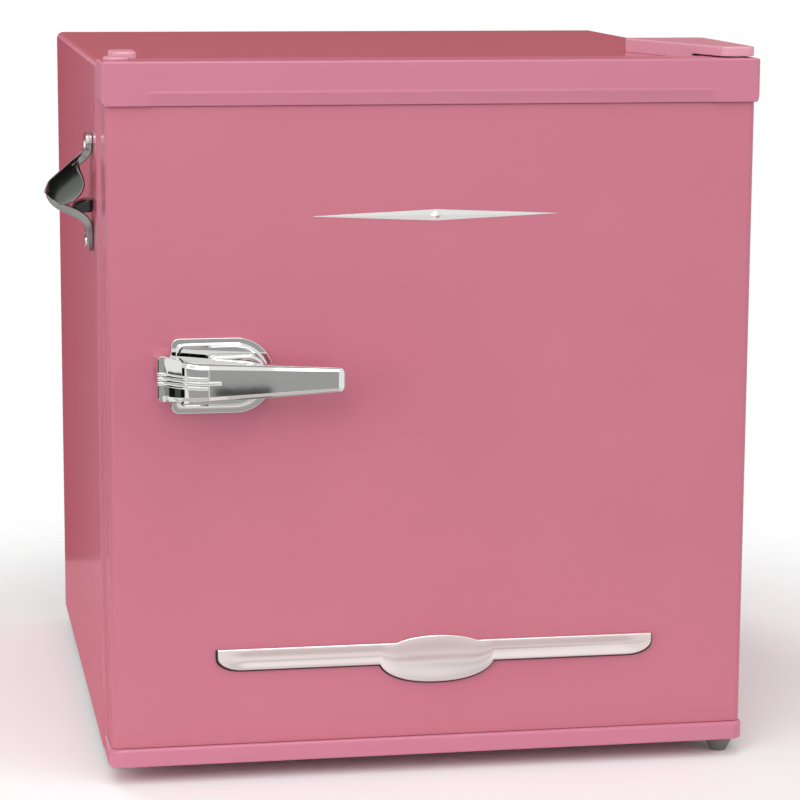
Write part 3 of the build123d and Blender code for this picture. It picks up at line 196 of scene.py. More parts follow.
# %% Plastics, glass, rubber and foam
finish("liner_white", "vacuum-formed white polystyrene", "#EDEFEF", "#E4E7E8", 0.34, 3.0, 0.012, IOR=1.59)
finish("white_plastic", "moulded white ABS", "#EBEDED", "#E0E3E4", 0.42, 0.9, 0.01, IOR=1.53)
clear = {"IOR": 1.57, "Transmission_Weight": 0.9}
finish("clear_plastic", "translucent styrene", "#F3F9FB", "#E9F2F6", 0.1, 2.5, 0.006, **clear)
finish("glass", "tempered glass", "#E9F6F1", "#DDF0E8", 0.03, 30.0, 0.002, IOR=1.52, Transmission_Weight=1.0)
finish("black_enamel", "black baked enamel", "#15161A", "#1D1E22", 0.24, 3.0, 0.01, IOR=1.5)
finish("black_plastic", "moulded black polypropylene", "#17181A", "#222326", 0.45, 0.8, 0.015, IOR=1.49)
finish("rubber", "moulded nitrile rubber", "#1B1B1C", "#252525", 0.7, 0.7, 0.03, IOR=1.52)
finish("foam", "rigid polyurethane foam", "#E6D8A8", "#D3C089", 0.9, 1.2, 0.2, IOR=1.4)
finish("acetal", "turned acetal", "#E3E0D8", "#D6D2C8", 0.4, 0.6, 0.008, IOR=1.48)
finish("foot_grey", "moulded grey polyethylene", "#7B7975", "#6B6966", 0.5, 0.9, 0.015, IOR=1.51)
# The opener's chrome is a darker copy of the polished chrome: painted shade for its dark reflections.
casting = finish("opener", "shaded chrome casting", "#9A9C9A", "#8C8E8C", 0.2, 5.0, 0.004, Metallic=1.0)
galvanized = finish(
    "galvanized", "spangled galvanized sheet", "#B4B8BB", "#A4A9AD", 0.36, 1.5, 0.004, Metallic=1.0
)
print("finishes:", len(FINISHES))

# %% [markdown]
# Galvanized sheet is known by its spangle, the frost-like crystals of zinc, here about 14 mm across. A
# Voronoi texture has just that cell pattern. Its random cell value shifts the grey of each crystal.

# %% Zinc crystals on the galvanized sheet
tree = galvanized.node_tree
place = add_node(tree, "ShaderNodeTexCoord").outputs["Object"]
crystals = add_node(tree, "ShaderNodeTexVoronoi", {"Scale": 1 / (14 * MM)}, {"Vector": place})
cell = add_node(tree, "ShaderNodeSeparateColor", links={"Color": crystals.outputs["Color"]})
spangle = add_node(
    tree,
    "ShaderNodeMixRGB",
    {"Color1": linear("#A9AEB2"), "Color2": linear("#C0C4C6")},
    {"Fac": cell.outputs["Red"]},
)
tree.links.new(spangle.outputs["Color"], tree.nodes["Principled BSDF"].inputs["Base Color"])
print("spangle added to", galvanized.name)

# %% [markdown]
# Every piece goes through the same last steps: its mesh becomes an object at the origin, it rides on the
# body that carries it, its CAD nodes are hidden, and it takes the finish of its slot. Faces are shaded
# smooth, and edges that turn more than a limit stay sharp, so that flats stay flat and rounds look round.


# %% From a bmesh to a finished piece
def shade(shape, limit=35):
    """Smooth faces, with sharp edges where the surface turns by more than the limit in degrees."""
    for face in shape.faces:
        face.smooth = True
    for edge in shape.edges:
        edge.smooth = edge.calc_face_angle(math.pi) < math.radians(limit)


def new_object(shape, name, material):
    """An object at the origin with the mesh of a bmesh, which is freed."""
    mesh = bpy.data.meshes.new(name)
    shape.to_mesh(mesh)
    shape.free()
    mesh.materials.append(material)
    thing = bpy.data.objects.new(name, mesh)
    bpy.context.scene.collection.objects.link(thing)
    return thing


def piece_from(shape, name, nodes, limit=35):
    """The object of a finished bmesh, riding with its nodes, hiding them and wearing their finish."""
    shade(shape, limit)
    piece = new_object(shape, name, FINISHES[slot_of_node[nodes[0]]])
    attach(piece, body_of_node[nodes[0]])
    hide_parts(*nodes)
    return piece


def wear(piece, slot):
    """Gives a piece the finish of another slot than its node's."""
    piece.data.materials[0] = FINISHES[slot]


def tell(what, size):
    """Prints a size in mm."""
    print(what + " in mm:", [round(n / MM, 1) for n in size])


def soft_edges(piece, width, segments=3, limit=35):
    """A Bevel modifier on the sharp edges, then normals weighted to the large faces."""
    bevel = piece.modifiers.new("soft edges", "BEVEL")
    bevel.width = width * MM
    bevel.segments = segments
    bevel.limit_method = "ANGLE"
    bevel.angle_limit = math.radians(limit)
    bevel.use_clamp_overlap = True
    normals = piece.modifiers.new("flat faces", "WEIGHTED_NORMAL")
    normals.keep_sharp = True


print("finishes to wear:", len(FINISHES))

# %% [markdown]
# A solid whose shape is right is carried over: a copy of its triangles is merged into one skin, flat areas
# are joined again, and the edges get the small round that a real pressed or moulded edge has. The round is
# what draws the thin highlight along an edge.


# %% Carrying a solid over
def merged(node):
    """A copy of a CAD node's triangles as a bmesh, joined at their corners."""
    shape = bmesh.new()
    shape.from_mesh(frame["nodes"][node].data)
    bmesh.ops.remove_doubles(shape, verts=shape.verts, dist=0.0005 * MM)
    return shape


def carry(node, edge, limit=35):
    """A copy of a CAD node as one skin with soft edges; edge in mm."""
    shape = merged(node)
    bmesh.ops.dissolve_limit(shape, angle_limit=math.radians(0.3), verts=shape.verts, edges=shape.edges)
    piece = piece_from(shape, node + ".dressed", [node], limit)
    soft_edges(piece, edge, 2, limit)
    return piece


SHEET_EDGE = 0.25
FOLD_EDGE = 0.39
MOULDED_EDGE = 0.6
LINER_RIM = 0.5 * MM
# The nodes, each with the round of its edges in mm.
carried = {
    "cabinet_shell": FOLD_EDGE,
    "back_panel": SHEET_EDGE,
    "base_pan": SHEET_EDGE,
    "inner_liner": 0.8,
    "shelf_rails": MOULDED_EDGE,
    "evaporator": 0.3,
    "evaporator_spacers": 0.4,
    "icebox_frame": MOULDED_EDGE,
    "icebox_flap": 0.5,
    "drip_tray": 0.5,
    "shelf_glass": 0.5,
    "shelf_front_trim": 0.4,
    "shelf_rear_trim": 0.4,
    "thermostat_housing": MOULDED_EDGE,
    "thermostat_knob": 0.5,
    "drain_tube": 0.3,
    "compressor_plate": 0.4,
    "compressor": 0.8,
    "compressor_grommets": 0.8,
    "compressor_bolts": 0.5,
    "relay_cover": MOULDED_EDGE,
    "cord_gland": 0.5,
    "suction_pipe": 0.3,
    "discharge_pipe": 0.3,
    "filter_drier": 0.6,
    "capillary_tube": 0.2,
    "drain_pan": 0.5,
    "rear_feet": MOULDED_EDGE,
    "front_left_foot": MOULDED_EDGE,
    "front_right_foot": MOULDED_EDGE,
    "top_hinge_plate": 0.4,
    "top_hinge_pin": 0.3,
    "hinge_cover": 0.4,
    "hinge_hole_cap": 0.4,
    "bottom_hinge_plate": 0.4,
    "bottom_hinge_pin": 0.3,
    "door_skin": SHEET_EDGE,
    "door_liner": 1.2,
    "door_gasket": MOULDED_EDGE,
    "door_bin_lower": MOULDED_EDGE,
    "door_bin_upper": MOULDED_EDGE,
    "top_hinge_bush": 0.4,
    "bottom_hinge_bush": 0.4,
    "door_hole_plug": 0.4,
}
for node, edge in carried.items():
    dressed = carry(node, edge)
    # The hinge cover and the two plugs wear the paler ABS: painted light.
    if node in ("hinge_cover", "hinge_hole_cap", "door_hole_plug"):
        dressed.data.materials[0] = pale
    if node == "door_liner":
        # The rim of the liner lies in the door's seam, wrapped by the gasket's base.
        low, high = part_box(node)
        dressed.data.materials.append(FINISHES[slot_of_node["door_gasket"]])
        for face in dressed.data.polygons:
            at = face.center
            rim = min(at.x - low.x, high.x - at.x, at.z - low.z, high.z - at.z)
            face.material_index = int(rim < LINER_RIM)
print("carried over:", len(carried))

# %% [markdown]
# The foam, the coil behind the back panel, the switch and the handle's studs are sealed in. Nobody sees
# them until the fridge is cut open, so their solids stay as they are and only get their finish.

# %% Sealed pieces
for node in ("cabinet_foam", "door_foam", "condenser_coil", "thermostat_switch", "handle_studs"):
    solid = frame["nodes"][node]
    solid.data.materials.clear()
    solid.data.materials.append(FINISHES[slot_of_node[node]])
print("sealed pieces finished")

# %% [markdown]
# The end caps of the door are thick ABS mouldings that stand proud of the steel skin. The upper one has a
# long crease low on its front, below which the face falls back. It starts as a cube the size of the cap.
# Planes cut it where the crease runs, the lower front corners go back, and bevels round it off. It ends a
# hair above the skin, because a real cap never closes that joint, and the gap draws a dark line.

# %% Size of the door
skin_low, skin_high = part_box("door_skin")
cap_low, cap_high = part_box("door_top_cap")
foot_low, foot_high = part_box("door_bottom_cap")
JOINT = 0.3 * MM
tell("door skin", skin_high - skin_low)


# %% Helpers for blocks and picked edges
def block(low, high):
    """A bmesh cube between two corners."""
    shape = bmesh.new()
    middle = Matrix.Translation((Vector(low) + Vector(high)) / 2)
    size = Matrix.Diagonal((Vector(high) - Vector(low)).to_4d())
    size[3][3] = 1.0
    bmesh.ops.create_cube(shape, size=1.0, matrix=middle @ size)
    return shape


def cut(shape, place, normal):
    """Edges where a plane crosses the shape."""
    geometry = shape.verts[:] + shape.edges[:] + shape.faces[:]
    bmesh.ops.bisect_plane(shape, geom=geometry, plane_co=place, plane_no=normal)


def slice_along(shape, count, axis):
    """Cuts a block that is count - 1 units long on an axis into slices of one unit."""
    normal = Vector([float(axis == other) for other in range(3)])
    for number in range(1, count - 1):
        cut(shape, number * normal, normal)


def outward(shape):
    """Turns all faces to look outward."""
    bmesh.ops.recalc_face_normals(shape, faces=shape.faces)


def round_edges(shape, picked, radius, segments, affect="EDGES"):
    """A round along the picked edges, or at the picked vertices; radius in mm."""
    bmesh.ops.bevel(
        shape,
        geom=picked,
        offset=radius * MM,
        offset_type="OFFSET",
        affect=affect,
        segments=segments,
        profile=0.5,
        material=-1,
        clamp_overlap=True,
    )


def on_plane(edge, axis, value, tolerance=0.01 * MM):
    """Whether both ends of an edge lie at one value of an axis."""
    return all(abs(vert.co[axis] - value) < tolerance for vert in edge.verts)


def front_corners(shape, low, high):
    """The upright edges at the two front corners of a block."""
    front = [e for e in shape.edges if on_plane(e, 1, low.y)]
    return [e for e in front if on_plane(e, 0, low.x) or on_plane(e, 0, high.x)]


probe = block(cap_low, cap_high)
print("front corners of a block:", len(front_corners(probe, cap_low, cap_high)))
probe.free()

# %% The upper end cap
CREASE = 8.5 * MM
CREASE_END = 35 * MM
CREASE_FADE = 6 * MM
FALL = 1.1 * MM
BEAD = 1.3 * MM
BEAD_PROUD = 0.6 * MM
SIDE_FALL = 2.0 * MM
SIDE_BEVEL = 4.0 * MM
NEAR = 0.1 * MM
CAP_CORNER, CAP_RIM = 3.0, 1.6
low = Vector((cap_low.x, cap_low.y, skin_high.z + JOINT))
cap = block(low, cap_high)
for level in (CREASE, CREASE + BEAD, SIDE_BEVEL):
    cut(cap, (0, 0, low.z + level), (0, 0, 1))
crease_left = cap_low.x + CREASE_END
crease_right = cap_high.x - CREASE_END
for x in (crease_left - CREASE_FADE, crease_left, crease_right, crease_right + CREASE_FADE):
    cut(cap, (x, 0, 0), (1, 0, 0))
for vert in cap.verts:
    height = vert.co.z - low.z
    if vert.co.y < low.y + MM and crease_left - MM < vert.co.x < crease_right + MM:
        vert.co.y += FALL * max(0.0, 1 - height / CREASE)
        if abs(height - CREASE) < NEAR:
            vert.co.y -= BEAD_PROUD
    if height < MM:
        if abs(vert.co.x - low.x) < NEAR:
            vert.co.x += SIDE_FALL
        elif abs(vert.co.x - cap_high.x) < NEAR:
            vert.co.x -= SIDE_FALL
round_edges(cap, front_corners(cap, cap_low, cap_high), CAP_CORNER, 6)
rim = [e for e in cap.edges if on_plane(e, 2, cap_high.z) and e.calc_face_angle(0) > 0.5]
round_edges(cap, rim, CAP_RIM, 5)
upper_cap = piece_from(cap, "door_top_cap.moulded", ["door_top_cap"], 25)
soft_edges(upper_cap, 0.5, 3, 20)
tell("upper cap", upper_cap.dimensions)

# %% The lower end cap
FOOT_CORNER, FOOT_UPPER_RIM, FOOT_LOWER_RIM = 9.0, 2.4, 1.2
low = foot_low.copy()
high = Vector((foot_high.x, foot_high.y, skin_low.z - JOINT))
cap = block(low, high)
round_edges(cap, front_corners(cap, low, high), FOOT_CORNER, 12)
for level, radius, segments in ((high.z, FOOT_UPPER_RIM, 5), (low.z, FOOT_LOWER_RIM, 4)):
    rim = [e for e in cap.edges if on_plane(e, 2, level) and not on_plane(e, 1, high.y)]
    round_edges(cap, rim, radius, segments)
lower_cap = piece_from(cap, "door_bottom_cap.moulded", ["door_bottom_cap"], 25)
soft_edges(lower_cap, 0.4, 2, 30)
tell("lower cap", lower_cap.dimensions)

# %% [markdown]
# The handle is the piece of this fridge that asks most of its maker. Behind it lies a chromed plate, square
# at the left and round at the right, with a rolled rim and a raised boss. A flat face with rounded corners,
# extruded ring by ring, gives that stepped and rolled section. An inset would do the same on a square, but
# on a narrow or round outline a deep inset folds over itself, and a scaled ring never does.


# %% A raised plate from rings
LARGE_ROUND = 6
UPRIGHT = Matrix.Rotation(math.pi / 2, 3, "X")


def front_face(shape, x0, x1, z0, z1, left, right):
    """A flat face that looks to the front (-Y), with the rounds of its left and right corners in mm."""
    made = bmesh.ops.create_grid(shape, x_segments=1, y_segments=1, size=0.5)
    bmesh.ops.scale(shape, vec=(x1 - x0, z1 - z0, 1), verts=made["verts"])
    bmesh.ops.rotate(shape, cent=(0, 0, 0), matrix=UPRIGHT, verts=made["verts"])
    bmesh.ops.translate(shape, vec=((x0 + x1) / 2, 0, (z0 + z1) / 2), verts=made["verts"])
    for x, z, radius in ((x0, z0, left), (x0, z1, left), (x1, z0, right), (x1, z1, right)):
        place = Vector((x, 0, z))
        corner = [v for v in shape.verts if (v.co - place).length < 0.01 * MM]
        round_edges(shape, corner, radius, 16 if radius > LARGE_ROUND else 6, "VERTICES")
    bmesh.ops.remove_doubles(shape, verts=shape.verts, dist=0.05 * MM)
    shape.normal_update()
    shape.faces.ensure_lookup_table()
    return shape.faces[0]


def raise_rings(shape, face, rings):
    """Extrudes a face ring by ring: each ring is smaller all round and higher, by its two sizes in mm."""
    for inward, up in rings:
        face = bmesh.ops.extrude_discrete_faces(shape, faces=[face])["faces"][0]
        across = [vert.co.x for vert in face.verts]
        tall = [vert.co.z for vert in face.verts]
        centre = Vector(((max(across) + min(across)) / 2, 0, (max(tall) + min(tall)) / 2))
        share_x = 1 - 2 * inward * MM / (max(across) - min(across))
        share_z = 1 - 2 * inward * MM / (max(tall) - min(tall))
        bmesh.ops.scale(shape, vec=(share_x, 1, share_z), space=Matrix.Translation(-centre), verts=face.verts)
        bmesh.ops.translate(shape, vec=(0, -up * MM, 0), verts=face.verts)
    outward(shape)


def raised(x0, x1, z0, z1, left, right, rings, y):
    """A plate raised ring by ring from a rounded face that stands at y."""
    shape = bmesh.new()
    raise_rings(shape, front_face(shape, x0, x1, z0, z1, left, right), rings)
    bmesh.ops.translate(shape, vec=(0, y, 0), verts=shape.verts)
    return shape


def join(shape, other):
    """Adds another bmesh to a shape, and frees it."""
    mesh = bpy.data.meshes.new("joined")
    other.to_mesh(mesh)
    other.free()
    shape.from_mesh(mesh)
    bpy.data.meshes.remove(mesh)


print("corner rounds with 16 segments: over", LARGE_ROUND, "mm")

# %% The handle's plate and boss
WALL = ((0.0, 3.8), (0.12, 0.2), (0.2, 0.1))
FLANGE = ((0.12, 0.0), (2.6, 0.0), (0.12, 0.0))
ROLL_OUT = ((0.3, 0.45), (0.4, 0.45), (0.5, 0.3), (0.5, 0.0))
ROLL_BACK = ((0.45, -0.25), (0.4, -0.35), (0.3, -0.3), (0.12, 0.0))
PLATE_ROUND = 5
base_low, base_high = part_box("handle_base")
half_round = (base_high.z - base_low.z) / 2 / MM
sides = base_low.x, base_high.x, base_low.z, base_high.z
plate = raised(*sides, PLATE_ROUND, half_round, WALL + FLANGE + ROLL_OUT + ROLL_BACK, base_high.y)
BOSS_UP = ((0.0, 5.6), (0.15, 0.7), (0.4, 0.7), (0.7, 0.5), (0.8, 0.15))
BOSS_DOWN = ((0.7, -0.2), (0.7, -0.7), (0.5, -0.3))
BOSS_SEAT = 5 * MM
BOSS_ROUNDS = 4, 11
# How far the boss stands in from the plate's left end, its right end and its long edges.
FROM_LEFT, FROM_RIGHT, FROM_EDGES = 24 * MM, 6.5 * MM, 10.5 * MM
boss_left, boss_right = base_low.x + FROM_LEFT, base_high.x - FROM_RIGHT
boss_low, boss_high = base_low.z + FROM_EDGES, base_high.z - FROM_EDGES
sides = boss_left, boss_right, boss_low, boss_high
join(plate, raised(*sides, *BOSS_ROUNDS, BOSS_UP + BOSS_DOWN, base_high.y - BOSS_SEAT))
# The boss's floor holds a black recess: painted shade, the dark band between the boss and the lever.
RECESS = 3.4 * MM
RECESS_STEPS = ((0.0, 0.5), (0.3, 0.1))
RECESS_SUNK = 0.2 * MM
RECESS_ROUNDS = 1.5, 8
boss_floor = base_high.y - BOSS_SEAT - sum(up for inward, up in BOSS_UP + BOSS_DOWN) * MM
sides = boss_left + RECESS, boss_right - RECESS, boss_low + RECESS, boss_high - RECESS
dark = raised(*sides, *RECESS_ROUNDS, RECESS_STEPS, boss_floor + RECESS_SUNK)
shade_recess_piece = piece_from(dark, "handle_base.shade_recess", ["handle_base"], 50)
# The black enamel here is painted shade.
wear(shade_recess_piece, "black_enamel")
handle_plate = piece_from(plate, "handle_base.chromed", ["handle_base"], 50)
tell("handle plate", handle_plate.dimensions)

# %% [markdown]
# The lever wraps round the left end of its plate like a finger and runs out to the right, getting slimmer.
# It starts as a cube in a space of its own: X is the way along the lever from 0 to 1, Y is 0 in front and 1
# behind, and Z is -1 below and 1 above. Planes cut it across, and each vertex is then carried to its place
# on the lever. That keeps the long edges clean, so that bevels can run along them.

# %% The lever's lines
lever_low, lever_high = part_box("handle_lever")
RIB = 1.1 * MM
RIB_ROOT = 0.8 * MM
WRAP = 0.4
WRAP_WIDTH = 27 * MM
STEP_AT = 0.4344
STEP_BACK = 0.7 * MM
TIP_FALL = 2 * MM
ROOT_HALF = 15.4 * MM
NECK_HALF = 13.3 * MM
TIP_HALF = 7.75 * MM
FLANGE_EDGE = 0.88
FACE_EDGE = 0.71
FACE_RISE = 1.9 * MM
END_ROUND = 4 * MM
TIP_ROUND = 2.5 * MM
# Rows of the heel: the place along the lever, x from its left end and y off the wall, in mm.
HEEL = ((0.0, 0.0, 0.0), (0.06, 0.0, 18.6), (0.08, 0.35, 19.9), (0.10, 1.2, 20.6), (0.14, 4.6, 21.0))
HEEL_END = 0.14
END_EDGE = 0.989
HEEL_LIFT = 1.4 * MM
HEEL_RISE = 1.0 * MM
RISE_FROM, RISE_OVER = 0.25, 0.15
BULGE = (4.6, 21.0), (14.5, 35.0), (27.0, 36.0)
LEVER_THICK = 9 * MM
SEAT_PLAY = 0.3 * MM
lever_left = lever_low.x + RIB
lever_front = lever_low.y + RIB
lever_wall = lever_high.y
lever_middle = (lever_low.z + lever_high.z) / 2
lever_seat = base_low.y
lever_long = lever_high.x - lever_left
seat_left = base_low.x - lever_left - SEAT_PLAY
# The back of the lever in plan, from the wall over its seat on the plate to the free blade.
back_line = (
    (0.0, seat_left, lever_wall),
    (0.2, seat_left, lever_seat),
    (0.4, 0.27 * lever_long, lever_seat),
    (0.5, 0.4 * lever_long, lever_seat),
    (0.56, 0.47 * lever_long, lever_seat - 2 * MM),
    (0.62, 0.55 * lever_long, lever_front + LEVER_THICK),
    (1.0, lever_long, lever_front + LEVER_THICK),
)


def between(table, along, ease=0.0):
    """The values of a table's row at a place along it: straight between its rows, or eased in part."""
    for (a0, *first), (a1, *last) in zip(table, table[1:]):
        if along <= a1:
            share = (along - a0) / (a1 - a0)
            share = share * share * (3 - 2 * share) * ease + share * (1 - ease)
            return [p + share * (q - p) for p, q in zip(first, last)]
    return table[-1][1:]


def front_point(along, proud):
    """The front of the lever in plan: a heel with a flat rim, a bulge, then a straight blade a step lower."""
    if along <= HEEL_END:
        x, y = between(HEEL, along)
        out = 0.5 * max(proud, 0)
        return x * MM - out, lever_wall - y * MM - out
    if along <= WRAP:
        turn = (along - HEEL_END) / (WRAP - HEEL_END)
        weights = (1 - turn) ** 2, 2 * turn * (1 - turn), turn**2
        x = sum(weight * point[0] for weight, point in zip(weights, BULGE)) * MM
        y = sum(weight * point[1] for weight, point in zip(weights, BULGE)) * MM
        return x - proud * (1 - turn), lever_wall - y - proud
    share = (along - WRAP) / (1 - WRAP)
    x = WRAP_WIDTH + share * (lever_long - WRAP_WIDTH)
    set_back = STEP_BACK if along > STEP_AT and proud == 0 else 0.0
    return x, lever_front - proud + share * TIP_FALL + set_back


def low_point(along):
    """The rim round the lever's front, a little behind it; less behind at the heel."""
    share = min(max((along - RISE_FROM) / RISE_OVER, 0), 1)
    return front_point(along, -(HEEL_RISE + share * (FACE_RISE - HEEL_RISE)))


def half_height(x):
    """Half the lever's height at a distance from its left end, whose corners are round."""
    if x < WRAP_WIDTH:
        short = max(END_ROUND - max(x, 0), 0)
        corner = END_ROUND - math.sqrt(END_ROUND**2 - short**2)
        return ROOT_HALF + (NECK_HALF - ROOT_HALF) * max(x, 0) / WRAP_WIDTH - corner
    short = min(max(TIP_ROUND - (lever_long - x), 0), TIP_ROUND)
    corner = TIP_ROUND - math.sqrt(TIP_ROUND**2 - short**2)
    return NECK_HALF + (TIP_HALF - NECK_HALF) * (x - WRAP_WIDTH) / (lever_long - WRAP_WIDTH) - corner


def lever_strip(end, stations, rib=None):
    """A cube cut across and carried to the lever's lines. A rib is given by its two heights in metres."""
    shape = block((0, 0, -1), (end, 1, 1))
    for along in stations:
        cut(shape, (along, 0, 0), (1, 0, 0))
    proud = RIB if rib else 0.0
    levels = () if rib else (-FLANGE_EDGE, -FACE_EDGE, FACE_EDGE, FLANGE_EDGE)
    for level in levels:
        cut(shape, (0, 0, level), (0, 0, 1))
    for vert in shape.verts:
        along, behind, high = vert.co
        front_x, front_y = front_point(along, proud)
        low_rim = not rib and (abs(high) > FLANGE_EDGE - 0.01 or along > END_EDGE - 0.001)
        x, y = low_point(along) if low_rim else (front_x, front_y)
        if behind > 0.5:
            x, y = front_point(along, -RIB_ROOT) if rib else between(back_line, along)
        lift = HEEL_LIFT * min(max(1 - front_x / WRAP_WIDTH, 0), 1)
        if rib:
            z = lift + (rib[1] if high > 0 else rib[0])
        else:
            z = lift + high * half_height(front_x)
        vert.co = (lever_left + x, y, lever_middle + z)
    return shape


# Where planes cut the lever across: close together round the heel, further apart on the blade.
wrap_stations = [0.03] + [place[0] for place in HEEL[1:]] + [0.11, 0.12, 0.13]
wrap_stations = sorted(wrap_stations + [HEEL_END + (WRAP - HEEL_END) * step / 16 for step in range(1, 17)])
blade_stations = [STEP_AT - 0.001, STEP_AT + 0.001, 0.5, 0.56, 0.62, 0.8, 0.974, END_EDGE]
print("lever length in mm:", round(lever_long / MM, 1))

# %% The lever's body
lever = lever_strip(1.0, wrap_stations + blade_stations)
outward(lever)
lever_piece = piece_from(lever, "handle_lever.chromed", ["handle_lever"], 30)
soft_edges(lever_piece, 0.45, 3, 28)
tell("lever", lever_piece.dimensions)

# %% [markdown]
# Three ribs wrap round the lever's left end, where the hand would press. They are strips on the same lines,
# standing out by 1.1 mm, with rounded edges. The middle one runs a little further.

# %% The lever's ribs
RIB_PITCH = 3.1 * MM
RIB_HALF = 1.15 * MM
RIB_ROUND = 0.7
RIBS = ((-RIB_PITCH, 0.43), (0.0, 0.485), (RIB_PITCH, 0.43))
for number, (place_z, end) in enumerate(RIBS):
    stations = [s for s in wrap_stations + [STEP_AT - 0.004] if s < end - 0.002]
    rib = lever_strip(end, stations, (place_z - RIB_HALF, place_z + RIB_HALF))
    outward(rib)
    outer = [e for e in rib.edges if e.calc_face_angle(0) > 0.6]
    round_edges(rib, outer, RIB_ROUND, 3)
    piece_from(rib, f"handle_lever.rib_{number + 1}", ["handle_lever"], 50)
print("ribs:", len(RIBS))

# %% [markdown]
# The long trim low on the door is one pressed strip: a bar with a hollow along it that opens into an oval
# bowl for the fingers. Two shapes laid over each other would leave a hard line round the bowl, so it is one
# block, cut across and along. Each station is carried to the outline, and the hollow gets deeper where the
# outline is taller. Near the ends the hollow fades out, which draws a mitre.

# %% The lower trim's lines
trim_low, trim_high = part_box("lower_trim")
TRIM_SHIFT = 2.5 * MM
BOWL_RISE = 4.4 * MM
BOWL_HALF = 40 * MM
BOWL_TALL = 33 * MM
BAR = 15 * MM
CORNER_LONG = 17 * MM
CORNER_TALL = 9 * MM
HOLLOW_FADE = 20 * MM
BAR_HOLLOW = 1.25 * MM
BOWL_HOLLOW = 1.25 * MM
SOLID_RISE = 1.8 * MM
trim_middle = (trim_low.x + trim_high.x) / 2 + TRIM_SHIFT
bar_top = trim_high.z - SOLID_RISE
bar_low = bar_top - BAR
bowl_centre = bar_top + BOWL_RISE - BOWL_TALL / 2
trim_half = (trim_high.x - trim_low.x) / 2


def oval(x):
    """Half the bowl's height at a distance from its middle, a little fuller than an ellipse."""
    share = min(abs(x) / BOWL_HALF, 1.0)
    return BOWL_TALL / 2 * (1 - share**2.25) ** 0.5


def trim_edges(x):
    """The upper and the lower line of the trim at a distance from its middle."""
    short = max(0.0, (abs(x) - trim_half + CORNER_LONG) / CORNER_LONG)
    rise = CORNER_TALL * (1 - math.sqrt(max(0.0, 1 - short**2)))
    upper, lower = bar_top, bar_low + rise
    if abs(x) < BOWL_HALF:
        upper = max(upper, bowl_centre + oval(x))
        lower = min(lower, bowl_centre - oval(x))
    return upper, lower


def hollow(x):
    """How deep the trim is pressed in at a distance from its middle."""
    end = min(1.0, (trim_half - abs(x)) / HOLLOW_FADE)
    share = max(0.0, 1 - (x / BOWL_HALF) ** 2)
    return (BAR_HOLLOW + BOWL_HOLLOW * share * share) * end


print("trim length in mm:", round(2 * trim_half / MM, 1))

# %% The lower trim
# Where planes cut the trim: from its ends, and from its long edges with the depth there, in mm.
ENDS = (0.0, 0.12, 0.5, 1.1, 2.0, 3.2, 4.6, 6.2, 8.0, 10.0, 12.0, 14.5, 17.0, 20.0, 26.0)
ROWS = (0.0, 0.35, 0.8, 1.3)
RIM_DEPTH = (2.9, 3.6, 3.95, 3.9)
FULL_RIM = 5 * MM
fractions = [step / 10 for step in range(1, 10)]
stations = [trim_half - end * MM for end in ENDS]
stations += [BOWL_HALF * math.sin(math.pi / 2 * step / 24) for step in range(25)]
stations = sorted(set(stations + [-x for x in stations]))
row_count = len(ROWS) * 2 + len(fractions)
strip = block((0, 0, 0), (len(stations) - 1, 1, row_count - 1))
slice_along(strip, len(stations), 0)
slice_along(strip, row_count, 2)
for vert in strip.verts:
    x = stations[round(vert.co.x)]
    row = round(vert.co.z)
    upper, lower = trim_edges(x)
    from_edge = min(row, row_count - 1 - row)
    rim = min(1.0, (upper - lower) / FULL_RIM)
    if from_edge < len(ROWS):
        inset = ROWS[from_edge] * MM * rim
        z = upper - inset if row == from_edge else lower + inset
        deep = RIM_DEPTH[from_edge] * MM
    else:
        share = fractions[row - len(ROWS)]
        inset = ROWS[-1] * MM * rim
        z = upper - inset - share * (upper - lower - 2 * inset)
        deep = RIM_DEPTH[-1] * MM - hollow(x) * math.sin(math.pi * share) ** 1.3
    y = trim_high.y - deep if vert.co.y < 0.5 else trim_high.y
    vert.co = (trim_middle + x, y, z)
bmesh.ops.remove_doubles(strip, verts=strip.verts, dist=0.003 * MM)
outward(strip)
trim = piece_from(strip, "lower_trim.satin", ["lower_trim"], 50)
tell("trim", trim.dimensions)

# %% [markdown]
# The strip sits on a thin pad of black foam tape. Its black is a painted shadow: it shows as a dark line
# under the strip and at its ends, where the strip stands off the door and its shadow falls.

# %% The trim's foam tape, a painted shadow line
# How far the black tape shows below the strip: the width of the painted shadow line.
SHADOW_SHOW = 1.3 * MM
TAPE_BEHIND = 1.0 * MM
TAPE_THICK = 0.9 * MM
tape = block((0, 0, 0), (len(stations) - 1, 1, 1))
slice_along(tape, len(stations), 0)
grow = 1 + SHADOW_SHOW / trim_half
for vert in tape.verts:
    x = stations[round(vert.co.x)]
    upper, lower = trim_edges(x)
    z = upper - TAPE_BEHIND if vert.co.z > 0.5 else lower - SHADOW_SHOW
    y = trim_high.y - TAPE_THICK if vert.co.y < 0.5 else trim_high.y
    vert.co = (trim_middle + grow * x, y, z)
outward(tape)
shadow_tape_piece = piece_from(tape, "lower_trim.shadow_tape", ["lower_trim"], 50)
# The tape's black is a painted shadow under the strip.
wear(shadow_tape_piece, "rubber")
tell("tape", shadow_tape_piece.dimensions)

# %% [markdown]
# The bottle opener on the cabinet's left side is a casting: a tab with a screw, an arched visor that catches
# the bottle's cap, and an arm that comes back to the wall and ends in a tail. The visor is a grid, bent over
# its ridge like a leaf and given a wall. The arm and the tab are blocks cut across and carried along a path,
# as the lever was, and subdivision makes them flow. A lug reaches from the wall to the arm, black as painted
# shade for the dark hollow under the visor. A bright chrome block round the tab is a painted highlight.

